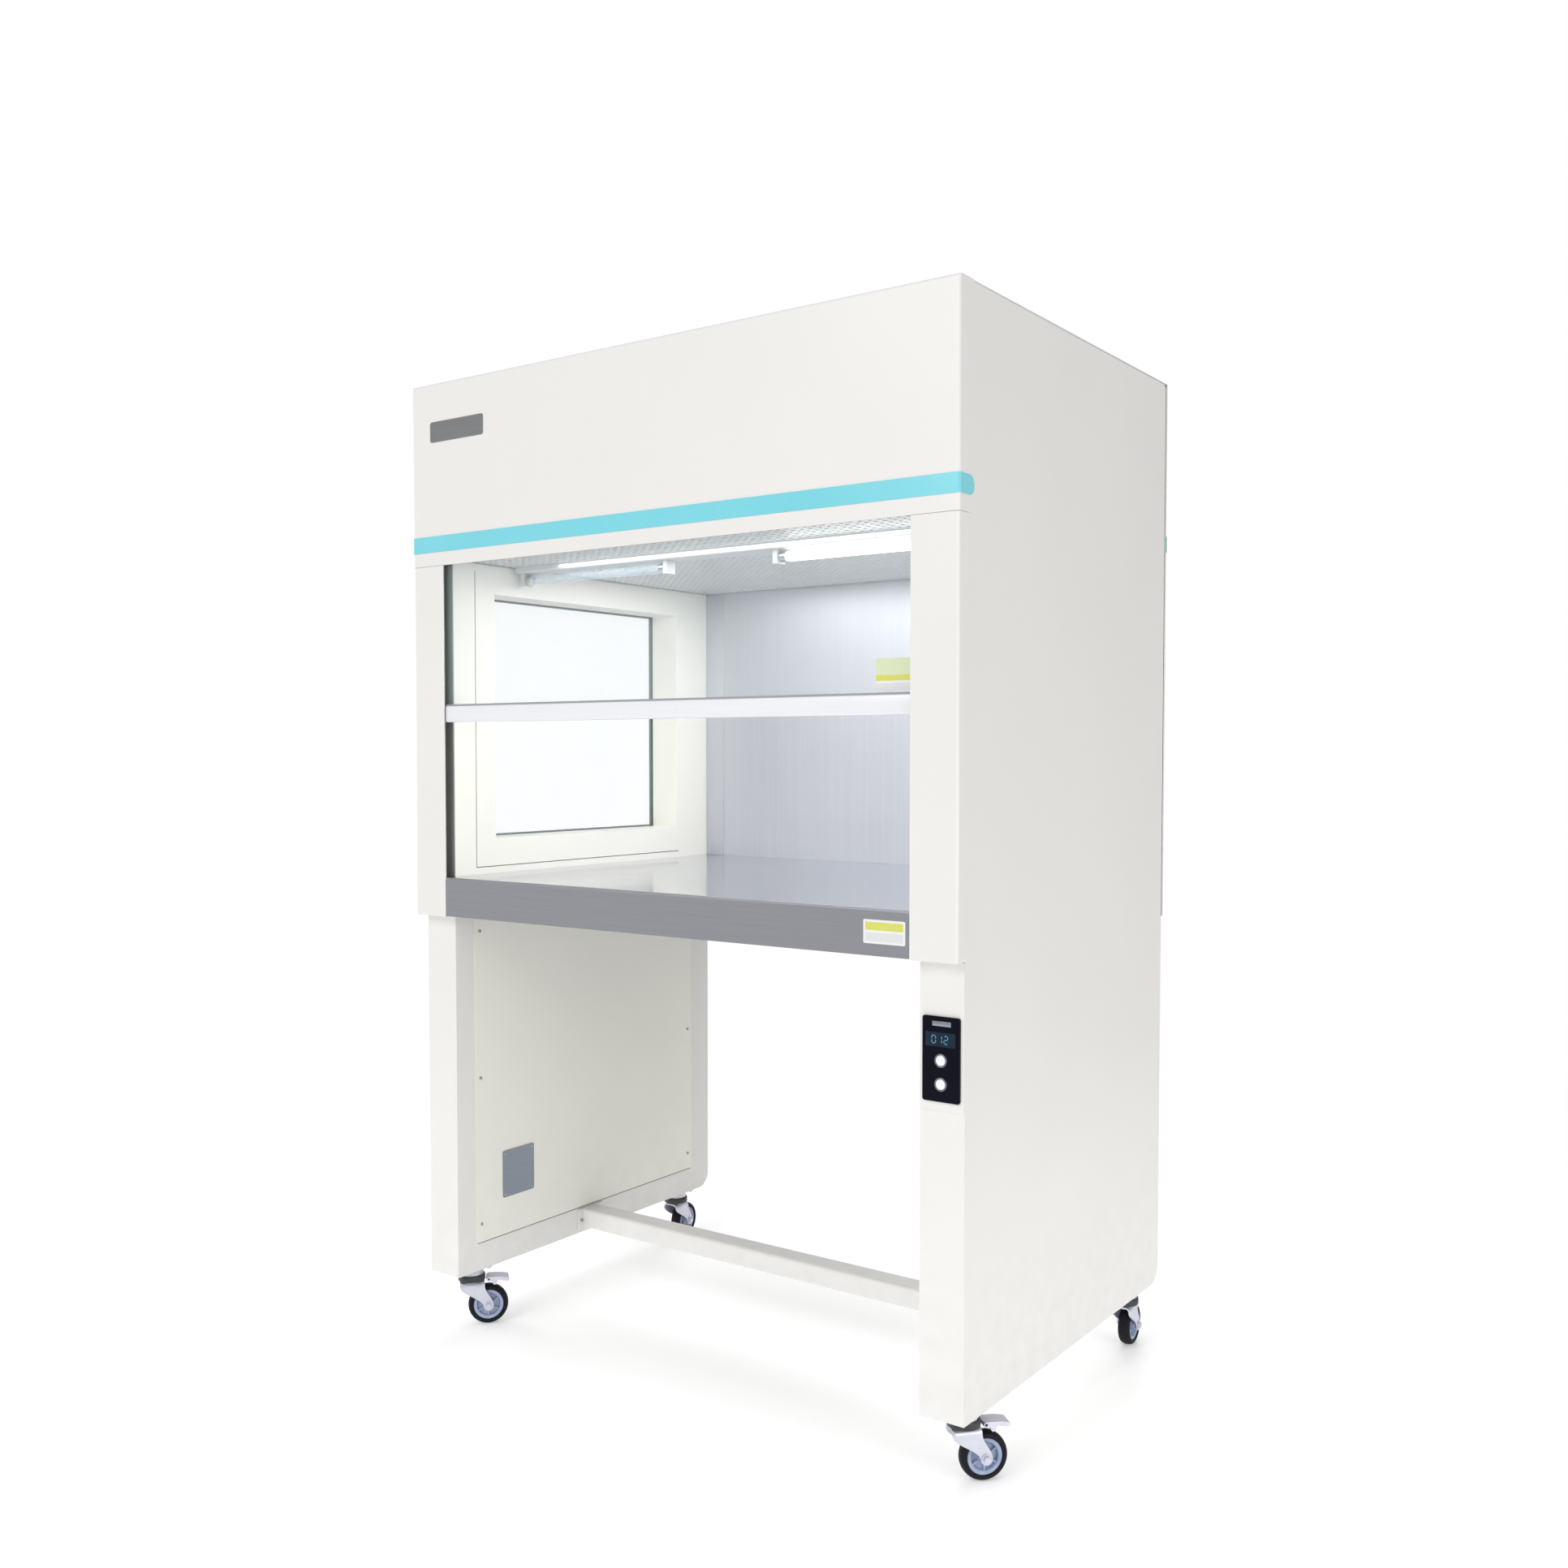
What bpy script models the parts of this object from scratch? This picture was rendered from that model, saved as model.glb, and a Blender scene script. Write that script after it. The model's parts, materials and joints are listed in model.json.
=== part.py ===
"""Mobile vertical laminar-flow clean bench: a steel cabinet on two box legs and four casters.

Origin on the floor under the middle of the cabinet, +Z up, +X to the right as seen from the
front, the front faces -Y. Metres throughout.
"""
import math

import bmesh
import bpy
from mathutils import Matrix, Vector

# ---- driving dimensions -------------------------------------------------------------------
GAP = 0.0003            # air between pieces that touch
SHELL = 0.0015          # side shells, legs and stainless sheet
COVER = 0.0012          # painted covers and liners

HALF_WIDTH = 0.4992     # outer face of the covers
FRONT = 0.3442          # outer face of the front and rear covers, from the middle
ROOF = 1.542
LEG_BOTTOM = 0.100
LEG_FRONT = -0.3215
LEG_REAR = 0.3325
LEG_INNER = 0.4328
LIP_BOTTOM = 0.694
WORK_TOP = 0.757
OPENING_TOP = 1.254
CEILING = 1.2645
CHAMBER = 0.430         # half width of the work chamber
BACK_FACE = 0.327
BAND_LOW = 1.2756
BAND_HIGH = 1.3009
BAND = 0.0005

WINDOW_HALF = 0.234
WINDOW_LOW = 0.815
WINDOW_HIGH = 1.217
GLASS = 0.005

RAIL_LOW = 1.005
RAIL_HEIGHT = 0.026
SASH_TOP = 1.522
SLOT_FRONT = -0.3425
SLOT_REAR = -0.3235

BLOWER = Vector((0.0, 0.0075, 0.0))
IMPELLER_RADIUS = 0.125
FILTER_LOW = 1.2740
FILTER_HIGH = 1.3430
PLENUM_LOW = 1.3445
PLENUM_TOP = 1.4717

KEY_X = 0.466
KEY_RADIUS = 0.007
KEY_HEIGHTS = {"fan_button": 0.567, "lamp_button": 0.5366}
PANEL_FACE = -0.3262
PANEL_BACK = -0.3234
PANEL_LOW = 0.5140
PANEL_HIGH = 0.6230
COVER_LOW = 0.5015      # lower edge of the control cover
BAY = ((0.442, 0.490), (0.519, 0.618))       # opening behind the panel, across and up

INLET = Vector((0.466, LEG_REAR, 0.300))     # mains inlet, middle of its face
INLET_HALF = (0.0130, 0.0170)
INLET_ROOM = 0.0005

CASTER_X = 0.466
CASTER_FRONT = -0.262
CASTER_REAR = 0.272
CASTER_TRAIL = 0.027
WHEEL_RADIUS = 0.033
WHEEL_HALF = 0.010
FRONT_TURN = math.radians(-41.0)   # swivel angle of the front casters
REAR_TURN = math.radians(5.0)

COLOURS = {                        # base colour, roughness, metallic
    "paint": ((0.86, 0.85, 0.82), 0.40, 0.0),
    "cream": ((0.88, 0.87, 0.82), 0.40, 0.0),
    "stainless": ((0.60, 0.61, 0.64), 0.22, 1.0),
    "zinc": ((0.70, 0.71, 0.74), 0.35, 1.0),
    "aluminium": ((0.85, 0.85, 0.86), 0.35, 0.6),
    "cyan": ((0.24, 0.74, 0.82), 0.35, 0.0),
    "glass": ((0.90, 0.96, 0.98), 0.05, 0.0),
    "black": ((0.02, 0.02, 0.03), 0.30, 0.0),
    "rubber": ((0.03, 0.03, 0.04), 0.70, 0.0),
    "white": ((0.90, 0.90, 0.90), 0.45, 0.0),
    "media": ((0.92, 0.92, 0.90), 0.90, 0.0),
    "blue_media": ((0.70, 0.78, 0.84), 0.95, 0.0),
    "grey": ((0.20, 0.22, 0.25), 0.50, 0.0),
    "green": ((0.05, 0.25, 0.10), 0.50, 0.0),
}

# ---- scene and tools ----------------------------------------------------------------------
for old in list(bpy.data.objects):
    bpy.data.objects.remove(old, do_unlink=True)

bench = bpy.data.collections.new("clean_bench")
cutters = bpy.data.collections.new("cutters")
bpy.context.scene.collection.children.link(bench)
bpy.context.scene.collection.children.link(cutters)


def paint(piece, colour):
    """Give a piece its own Principled material."""
    base, roughness, metallic = COLOURS[colour]
    material = bpy.data.materials.new(piece.name)
    material.use_nodes = True
    shader = material.node_tree.nodes["Principled BSDF"]
    shader.inputs["Base Color"].default_value = (*base, 1.0)
    shader.inputs["Roughness"].default_value = roughness
    shader.inputs["Metallic"].default_value = metallic
    piece.data.materials.clear()
    piece.data.materials.append(material)


def place(name, bm, colour=None):
    """Turn a bmesh into an object, in the bench when it has a colour, else a cutter."""
    mesh = bpy.data.meshes.new(name)
    bm.to_mesh(mesh)
    bm.free()
    piece = bpy.data.objects.new(name, mesh)
    if colour:
        bench.objects.link(piece)
        paint(piece, colour)
    else:
        cutters.objects.link(piece)
        piece.hide_render = True
        piece.display_type = "WIRE"
    return piece


def cube_mesh(low, high):
    """A bmesh box between two corners."""
    low, high = Vector(low), Vector(high)
    size = Matrix.Diagonal((*(high - low), 1.0))
    bm = bmesh.new()
    bmesh.ops.create_cube(bm, size=1.0, matrix=Matrix.Translation((low + high) / 2) @ size)
    return bm


def box(name, low, high, colour=None, round_axis=None, radius=0.0, segments=4):
    """A solid box; the edges along round_axis get a radius."""
    bm = cube_mesh(low, high)
    if round_axis is not None:
        along = [(e, (e.verts[0].co - e.verts[1].co).normalized()[round_axis]) for e in bm.edges]
        edges = [e for e, part in along if abs(part) > 0.9]
        bmesh.ops.bevel(bm, geom=edges, offset=radius, segments=segments, profile=0.5, affect="EDGES")
    return place(name, bm, colour)


def thicken(piece, thickness):
    """Wall thickness on the inner side of an open sheet."""
    solid = piece.modifiers.new("wall", "SOLIDIFY")
    solid.thickness = thickness
    solid.offset = -1.0
    solid.use_even_offset = True


def folded(name, low, high, open_sides, thickness, colour, bends=(), radius=0.003, segments=3):
    """A folded sheet: a box without its open sides ('-x', '+z', ...), with rounded bends.

    A bend is a pair of sides, such as ('-y', '+x'), whose shared edge is rounded.
    """
    bm = cube_mesh(low, high)
    middle = (Vector(low) + Vector(high)) / 2

    def sides_of(face):
        centre = face.calc_center_median() - middle
        axis = max(range(3), key=lambda i: abs(face.normal[i]))
        return ("+" if centre[axis] > 0 else "-") + "xyz"[axis]

    named = {sides_of(face): face for face in bm.faces}
    bent = [e for pair in bends for e in named[pair[0]].edges if named[pair[1]] in e.link_faces]
    bmesh.ops.delete(bm, geom=[named[side] for side in open_sides], context="FACES_ONLY")
    loose = [e for e in bm.edges if not e.link_faces]
    bmesh.ops.delete(bm, geom=loose, context="EDGES")
    if bent:
        bmesh.ops.bevel(bm, geom=bent, offset=radius, segments=segments, profile=0.5, affect="EDGES")
    piece = place(name, bm, colour)
    thicken(piece, thickness)
    return piece


def boolean(piece, other, operation):
    """Cut another object from a piece, or add it."""
    change = piece.modifiers.new(operation.lower(), "BOOLEAN")
    change.object = other
    change.operation = operation
    change.solver = "EXACT"


def cut_box(piece, low, high, round_axis=None, radius=0.0):
    cutter = box(f"{piece.name}_cut", low, high, None, round_axis, radius)
    boolean(piece, cutter, "DIFFERENCE")


def add_box(piece, low, high, round_axis=None, radius=0.0):
    tool = box(f"{piece.name}_add", low, high, None, round_axis, radius)
    boolean(piece, tool, "UNION")


def rod_mesh(start, end, radius, sides=24):
    """A bmesh cylinder from one point to another."""
    start, end = Vector(start), Vector(end)
    turn = (end - start).to_track_quat("Z", "Y").to_matrix().to_4x4()
    bm = bmesh.new()
    bmesh.ops.create_cone(bm, cap_ends=True, segments=sides, radius1=radius, radius2=radius,
                          depth=(end - start).length,
                          matrix=Matrix.Translation((start + end) / 2) @ turn)
    return bm


def rod(name, start, end, radius, colour=None, sides=24):
    return place(name, rod_mesh(start, end, radius, sides), colour)


def cut_rod(piece, start, end, radius, sides=24):
    boolean(piece, rod(f"{piece.name}_bore", start, end, radius, None, sides), "DIFFERENCE")


def turned(name, profile, colour=None, steps=32, ring=False):
    """A turned shape about Z; the profile's outer side runs from top to bottom."""
    mesh = bpy.data.meshes.new(name)
    edges = [(i, i + 1) for i in range(len(profile) - 1)]
    if ring:
        edges.append((len(profile) - 1, 0))
    mesh.from_pydata([(radius, 0.0, height) for radius, height in profile], edges, [])
    piece = bpy.data.objects.new(name, mesh)
    (bench if colour else cutters).objects.link(piece)
    screw = piece.modifiers.new("turn", "SCREW")
    screw.steps = screw.render_steps = steps
    screw.use_merge_vertices = True
    screw.merge_threshold = 0.00005
    screw.use_smooth_shade = False
    if colour:
        paint(piece, colour)
    else:
        piece.hide_render = True
        piece.display_type = "WIRE"
    return piece


def outline(name, points, thickness, colour=None):
    """A flat plate cut to an outline in XY, centred on Z = 0, as a mesh."""
    curve = bpy.data.curves.new(name, "CURVE")
    curve.dimensions = "2D"
    curve.fill_mode = "BOTH"
    curve.extrude = thickness / 2
    spline = curve.splines.new("POLY")
    spline.points.add(len(points) - 1)
    for point, (x, y) in zip(spline.points, points):
        point.co = (x, y, 0.0, 1.0)
    spline.use_cyclic_u = True
    drawn = bpy.data.objects.new(f"{name}_outline", curve)
    cutters.objects.link(drawn)
    graph = bpy.context.evaluated_depsgraph_get()
    mesh = bpy.data.meshes.new_from_object(drawn.evaluated_get(graph))
    bpy.data.objects.remove(drawn, do_unlink=True)
    bm = bmesh.new()
    bm.from_mesh(mesh)
    bmesh.ops.remove_doubles(bm, verts=bm.verts, dist=0.00001)
    bmesh.ops.recalc_face_normals(bm, faces=bm.faces)
    return place(name, bm, colour)


def arc(centre, radius, start, end, steps):
    """Points on an arc, angles in degrees."""
    angles = [math.radians(start + (end - start) * i / steps) for i in range(steps + 1)]
    return [(centre[0] + radius * math.cos(a), centre[1] + radius * math.sin(a)) for a in angles]


def turn_mesh(piece, matrix):
    """Move a piece's mesh within its own frame."""
    piece.data.transform(matrix)


UPRIGHT = Matrix(((0, 0, 1, 0), (1, 0, 0, 0), (0, 1, 0, 0), (0, 0, 0, 1)))  # XY outline into YZ


# ---- side towers: full-height shells, foot channels, leg covers ------------------------------
SHELL_X = HALF_WIDTH - COVER - GAP
SHELL_TOP = ROOF - SHELL - GAP
RETURN_FRONT = 0.050
RETURN_REAR = 0.062
RETURN_FOOT = 0.053
RETURN_TOP = 0.060
PAST = 0.01             # how far a cutter reaches past what it cuts


def side_shell(side, name):
    """Skin with a rim all round and an inner return, like a deep tray standing on edge."""
    rear_foot, rear_top, small = 0.028, 0.008, 0.004
    low, high = LEG_BOTTOM, SHELL_TOP
    points = arc((LEG_FRONT + small, low + small), small, 180, 270, 3)
    points += arc((LEG_REAR - rear_foot, low + rear_foot), rear_foot, 270, 360, 7)
    points += arc((LEG_REAR - rear_top, high - rear_top), rear_top, 0, 90, 6)
    points += arc((LEG_FRONT + small, high - small), small, 90, 180, 3)
    shell = outline(name, points, SHELL_X - LEG_INNER, "paint")
    turn_mesh(shell, Matrix.Translation((side * (SHELL_X + LEG_INNER) / 2, 0, 0)) @ UPRIGHT)
    bend = shell.modifiers.new("bend", "BEVEL")
    bend.width, bend.segments, bend.angle_limit = 0.0014, 2, math.radians(60)
    inside = cube_mesh(*sorted_box(side, LEG_INNER + SHELL, SHELL_X - SHELL, LEG_FRONT + SHELL,
                                   LEG_REAR - SHELL, low + SHELL, high - SHELL))
    rear_edges = [e for e in inside.edges if all(v.co.y > 0 for v in e.verts)
                  and abs(e.verts[0].co.x - e.verts[1].co.x) > 0.01]
    bmesh.ops.bevel(inside, geom=rear_edges, offset=rear_foot - SHELL, segments=6, profile=0.5,
                    affect="EDGES")
    boolean(shell, place(f"{name}_hollow", inside), "DIFFERENCE")
    cut_box(shell, *sorted_box(side, LEG_INNER - PAST, LEG_INNER + PAST, LEG_FRONT + RETURN_FRONT,
                               LEG_REAR - RETURN_REAR, low + RETURN_FOOT, high - RETURN_TOP))
    return shell


def sorted_box(side, x_low, x_high, y_low, y_high, z_low, z_high):
    """Two corners of a box on the left (-1) or the right (+1)."""
    xs = sorted((side * x_low, side * x_high))
    return (xs[0], y_low, z_low), (xs[1], y_high, z_high)


LEFT, RIGHT = -1, 1
for side, label in ((LEFT, "left"), (RIGHT, "right")):
    shell = side_shell(side, f"{label}_side_shell")
    if side == LEFT:
        cut_box(shell, (-SHELL_X - PAST, -WINDOW_HALF, WINDOW_LOW),
                (-SHELL_X + PAST, WINDOW_HALF, WINDOW_HIGH))
    else:
        cut_box(shell, (BAY[0][0], LEG_FRONT - PAST, BAY[1][0]), (BAY[0][1], LEG_FRONT + PAST, BAY[1][1]))
        room = Vector((INLET_HALF[0] + INLET_ROOM, 0.005, INLET_HALF[1] + INLET_ROOM))
        cut_box(shell, INLET - room, INLET + room)
    low, high = sorted_box(side, LEG_INNER + SHELL + GAP, SHELL_X - SHELL - GAP,
                           LEG_FRONT + SHELL + 0.002, LEG_REAR - 0.033,
                           LEG_BOTTOM + SHELL + GAP, LEG_BOTTOM + 0.034)
    folded(f"{label}_foot_channel", low, high, ("+z", "-y", "+y"), 0.003, "zinc")
    overlap = 0.006     # of the cover on the shell's return
    low, high = sorted_box(side, LEG_INNER - GAP - COVER, LEG_INNER - GAP, -0.283, 0.2785,
                           LEG_BOTTOM + RETURN_FOOT - overlap, LIP_BOTTOM - 0.0005)
    box(f"{label}_leg_cover", low, high, "cream", 0, 0.003, 2)

# ---- crossbar between the legs -------------------------------------------------------------
BAR_END = LEG_INNER - GAP
BAR_Y = (-0.029, 0.012)
BAR_Z = (0.108, 0.1415)
BAR_WALL = 0.0025
FLANGE = 0.003          # end plates, bolted to the legs
bar = box("crossbar", (-BAR_END, BAR_Y[0], BAR_Z[0]), (BAR_END, BAR_Y[1], BAR_Z[1]), "paint", 0, 0.005, 3)
for side in (LEFT, RIGHT):
    add_box(bar, *sorted_box(side, BAR_END - FLANGE, BAR_END, BAR_Y[0] - 0.012, BAR_Y[1] + 0.012,
                             BAR_Z[0] - 0.0055, BAR_Z[1] + 0.0015), 0, 0.004)
cut_box(bar, (-BAR_END - PAST, BAR_Y[0] + BAR_WALL, BAR_Z[0] + BAR_WALL),
        (BAR_END + PAST, BAR_Y[1] - BAR_WALL, BAR_Z[1] - BAR_WALL))

# ---- work surface and its frame --------------------------------------------------------------
LIP_FRONT = -FRONT + 0.0002
folded("worktop", (-CHAMBER + GAP, LIP_FRONT, LIP_BOTTOM + 0.001), (CHAMBER - GAP, BACK_FACE - GAP, WORK_TOP),
       ("-z",), SHELL, "stainless", (("-y", "+z"),), 0.004, 3)
FRAME_LOW = Vector((-0.4255, -0.338, 0.7145))
FRAME_HIGH = Vector((0.4255, 0.3235, WORK_TOP - SHELL - 0.0005))
FRAME_RAIL = Vector((0.040, 0.040, 0.0))
frame = folded("worktop_frame", FRAME_LOW, FRAME_HIGH, ("-z",), 0.002, "zinc")
cut_box(frame, FRAME_LOW + FRAME_RAIL - Vector((0, 0, PAST)), FRAME_HIGH - FRAME_RAIL + Vector((0, 0, PAST)))
add_box(frame, (-0.020, FRAME_LOW.y + FRAME_RAIL.y - 0.0015, FRAME_LOW.z + 0.012),
        (0.020, FRAME_HIGH.y - FRAME_RAIL.y + 0.0015, FRAME_HIGH.z))

# ---- chamber liners, back wall and side window -------------------------------------------------
WALL_LOW = 0.700
WALL_HIGH = CEILING - 0.0005


def inner_wall(side, name):
    """Liner with a front flange that forms the rear of the sash slot."""
    low, high = sorted_box(side, CHAMBER, 0.4465, -0.3230, BACK_FACE - 0.0002, WALL_LOW, WALL_HIGH)
    outer = "-x" if side == LEFT else "+x"
    return folded(name, low, high, (outer, "+y", "-z", "+z"), COVER, "cream")


left_wall = inner_wall(LEFT, "left_inner_wall")
inner_wall(RIGHT, "right_inner_wall")
REVEAL_OUT = -0.4886
add_box(left_wall, (REVEAL_OUT, -WINDOW_HALF - COVER, WINDOW_LOW - COVER),
        (-CHAMBER - COVER / 2, WINDOW_HALF + COVER, WINDOW_HIGH + COVER))
cut_box(left_wall, (-HALF_WIDTH, -WINDOW_HALF, WINDOW_LOW), (-CHAMBER + PAST, WINDOW_HALF, WINDOW_HIGH))
SEAM = 0.0016           # width of the joint lines in the left liner
SEAM_DEPTH = 0.0008
SEAM_Y, SEAM_Z = -0.2776, 0.7680
seam_start = (-CHAMBER - SEAM_DEPTH, SEAM_Y, SEAM_Z)
cut_box(left_wall, seam_start, (-CHAMBER + PAST, SEAM_Y + SEAM, WALL_HIGH - 0.012))
cut_box(left_wall, seam_start, (-CHAMBER + PAST, 0.2400, SEAM_Z + SEAM))

GLASS_OUT = -SHELL_X + SHELL + 0.002


def window_box(x_low, x_high, border):
    """Two corners of a box over the window, larger than its opening by a border."""
    return ((x_low, -WINDOW_HALF - border, WINDOW_LOW - border),
            (x_high, WINDOW_HALF + border, WINDOW_HIGH + border))


box("window_glass", *window_box(GLASS_OUT, GLASS_OUT + GLASS, 0.006), "glass")
gasket = box("window_gasket", *window_box(-SHELL_X + SHELL + GAP, GLASS_OUT + 0.004, 0.009),
             "rubber", 0, 0.006, 3)
cut_box(gasket, *window_box(GLASS_OUT - GAP, GLASS_OUT + 0.020, 0.006 + GAP))
cut_box(gasket, *window_box(-SHELL_X - PAST, GLASS_OUT + 0.020, -0.003))

BACK_HALF = 0.4230
folded("back_wall", (-BACK_HALF, BACK_FACE, WORK_TOP - 0.012), (BACK_HALF, BACK_FACE + 0.010, WALL_HIGH),
       ("+y", "-z", "+z"), SHELL, "stainless")

# ---- covers, trim bands and roof ---------------------------------------------------------------
WRAP = 0.037            # how far the front cover goes round the sides
REAR_START = LEG_REAR + 0.0005
folded("front_header_cover", (-HALF_WIDTH, -FRONT, OPENING_TOP), (HALF_WIDTH, -FRONT + WRAP, ROOF),
       ("+y", "-z"), COVER, "paint", (("-y", "-x"), ("-y", "+x"), ("-y", "+z")), 0.004, 4)
folded("rear_header_cover", (-HALF_WIDTH, REAR_START, OPENING_TOP), (HALF_WIDTH, FRONT, ROOF),
       ("-y", "-z"), COVER, "paint", (("+y", "-x"), ("+y", "+x"), ("+y", "+z")), 0.010, 4)
folded("rear_panel", (-HALF_WIDTH, REAR_START, LIP_BOTTOM), (HALF_WIDTH, FRONT, OPENING_TOP - 0.0008),
       ("-y", "+z"), COVER, "paint", (("+y", "-x"), ("+y", "+x")), 0.010, 4)

for side, label in ((LEFT, "left"), (RIGHT, "right")):
    low, high = sorted_box(side, CHAMBER, HALF_WIDTH, -FRONT, -0.3192, LIP_BOTTOM, OPENING_TOP - 0.0005)
    inner, outer = ("+x", "-x") if side == LEFT else ("-x", "+x")
    post = folded(f"{label}_post_cover", low, high, ("+y", "+z", inner), COVER, "paint",
                  (("-y", outer), ("-z", outer)), 0.004, 3)
    cut_box(post, *sorted_box(side, CHAMBER - PAST, HALF_WIDTH - COVER, LEG_FRONT - 0.0005, LEG_FRONT + PAST,
                              LIP_BOTTOM - PAST, LIP_BOTTOM + 0.009))


def band(name, y_front, y_end, radius, round_end):
    """A thin strip across the cover that turns the corner at both ends."""
    low = (-HALF_WIDTH - GAP - BAND, min(y_front, y_end), BAND_LOW)
    high = (HALF_WIDTH + GAP + BAND, max(y_front, y_end), BAND_HIGH)
    face, back_side = ("-y", "+y") if y_front < 0 else ("+y", "-y")
    strip = folded(name, low, high, (back_side, "-z", "+z"), BAND, "cyan",
                   ((face, "-x"), (face, "+x")), radius, 4)
    bm = bmesh.new()
    bm.from_mesh(strip.data)
    ends = [v for v in bm.verts if abs(v.co.y - y_end) < 1e-5]
    bmesh.ops.bevel(bm, geom=ends, offset=round_end, segments=5, profile=0.5, affect="VERTICES")
    bm.to_mesh(strip.data)
    bm.free()


band("front_stripe", -FRONT - GAP - BAND, -FRONT + WRAP, 0.0048, 0.012)
band("rear_stripe", FRONT + GAP + BAND, FRONT - 0.0095, 0.0100, 0.0005)

INTAKE_HALF = 0.20
INTAKE_Y = (-0.17, 0.19)
RIB_X = 0.4100          # stiffening ribs under the roof
roof = box("top_panel", (-SHELL_X, -FRONT + WRAP + 0.0005, ROOF - SHELL), (SHELL_X, LEG_REAR, ROOF), "paint")
cut_box(roof, (-INTAKE_HALF, INTAKE_Y[0], ROOF - PAST), (INTAKE_HALF, INTAKE_Y[1], ROOF + PAST), 2, 0.010)
for side in (LEFT, RIGHT):
    add_box(roof, *sorted_box(side, RIB_X, RIB_X + SHELL, -0.300, 0.320, ROOF - 0.020, ROOF - SHELL / 2))

# ---- air path: grille, prefilter, inlet, plenum, blower, filter, diffuser -----------------------
SLOTS, SLOT_PITCH, SLOT_WIDTH = 9, 0.0375, 0.026
RIM = 0.015             # of the grille under the roof
grille = box("prefilter_grille", (-INTAKE_HALF - RIM, INTAKE_Y[0] - RIM, ROOF - 0.0045),
             (INTAKE_HALF + RIM, INTAKE_Y[1] + RIM, ROOF - SHELL - GAP), "paint")
for row in range(SLOTS):
    y = INTAKE_Y[0] + RIM + row * SLOT_PITCH
    cut_box(grille, (RIM - 0.005 - INTAKE_HALF, y, ROOF - PAST),
            (INTAKE_HALF - RIM + 0.005, y + SLOT_WIDTH, ROOF + PAST))

folded("prefilter", (-0.212, -0.182, 1.5110), (0.212, 0.202, 1.5370), ("+z",), 0.012, "blue_media")

inlet_profile = [(0.135, 1.4745), (0.135, 1.4720), (0.095, 1.4720), (0.0835, 1.4660), (0.0800, 1.4560),
                 (0.0800, 1.4400), (0.0780, 1.4400), (0.0780, 1.4562), (0.0817, 1.4675), (0.0940, 1.4745)]
inlet = turned("inlet_ring", inlet_profile, "zinc", 32, True)
inlet.location = BLOWER

plenum = folded("plenum_box", (-0.4285, -0.3055, PLENUM_LOW), (0.4285, 0.3225, PLENUM_TOP), ("-z",),
                SHELL, "zinc")
mouth = BLOWER + Vector((0, 0, PLENUM_TOP))
cut_rod(plenum, mouth - Vector((0, 0, PAST)), mouth + Vector((0, 0, PAST)), 0.098, 32)

BRACKET_HALF = 0.054
folded("motor_bracket", (-0.4265, BLOWER.y - BRACKET_HALF, PLENUM_LOW + 0.0005),
       (0.4265, BLOWER.y + BRACKET_HALF, PLENUM_LOW + 0.0125), ("+z", "-x", "+x"), 0.002, "zinc")

motor_profile = [(0.0, 1.4060), (0.0040, 1.4060), (0.0040, 1.3790), (0.0300, 1.3790), (0.0450, 1.3750),
                 (0.0450, 1.3570), (0.0300, 1.3475), (0.0, 1.3475)]
motor = turned("blower_motor", motor_profile, "grey", 24)
motor.location = BLOWER

hub_profile = [(0.0180, 1.4050), (0.0300, 1.3870), (IMPELLER_RADIUS, 1.3830), (IMPELLER_RADIUS, 1.3810),
               (0.0046, 1.3810), (0.0046, 1.4050)]
impeller = turned("blower_impeller", hub_profile, "black", 28, True)
impeller.location = BLOWER
shroud = turned("impeller_shroud", [(0.0950, 1.4500), (0.0965, 1.4372), (IMPELLER_RADIUS, 1.4350),
                                    (IMPELLER_RADIUS, 1.4325), (0.0945, 1.4345), (0.0925, 1.4490)],
                None, 28, True)
shroud.parent = impeller
BLADES, BLADE_WIDTH, BLADE_MIDDLE = 7, 0.0516, 1.4080
for index in range(BLADES):
    inner = arc((0.110, 0.085), 0.099, 205, 274, 4)
    outer = arc((0.110, 0.085), 0.101, 274, 205, 4)
    blade = outline(f"blade_{index}", inner + outer, BLADE_WIDTH)
    turn = Matrix.Rotation(math.tau * index / BLADES, 4, "Z")
    turn_mesh(blade, turn @ Matrix.Translation((0, 0, BLADE_MIDDLE)))
    blade.parent = impeller
    boolean(impeller, blade, "UNION")
boolean(impeller, shroud, "UNION")

PLEATS, PLEAT_PITCH, PLEAT_DEPTH = 15, 0.0384, 0.012
FILTER_HALF, FILTER_FRONT, FILTER_REAR, FILTER_RIM = 0.4260, -0.3030, 0.3200, 0.020
PLEAT_SIDES = ((FILTER_HIGH - PLEAT_DEPTH, FILTER_HIGH + PAST), (FILTER_LOW - PAST, FILTER_LOW + PLEAT_DEPTH))
hepa = box("hepa_filter", (-FILTER_HALF, FILTER_FRONT, FILTER_LOW),
           (FILTER_HALF, FILTER_REAR, FILTER_HIGH), "media")
for row in range(PLEATS):
    y = FILTER_FRONT + 0.024 + row * PLEAT_PITCH
    for low, high in PLEAT_SIDES:
        cut_box(hepa, (FILTER_RIM - FILTER_HALF, y, low),
                (FILTER_HALF - FILTER_RIM, y + PLEAT_PITCH / 2, high))

folded("diffuser_plate", (-0.4290, -0.3190, CEILING), (0.4290, 0.3262, CEILING + 0.009),
       ("+z", "-y", "+y"), COVER, "white")

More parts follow.
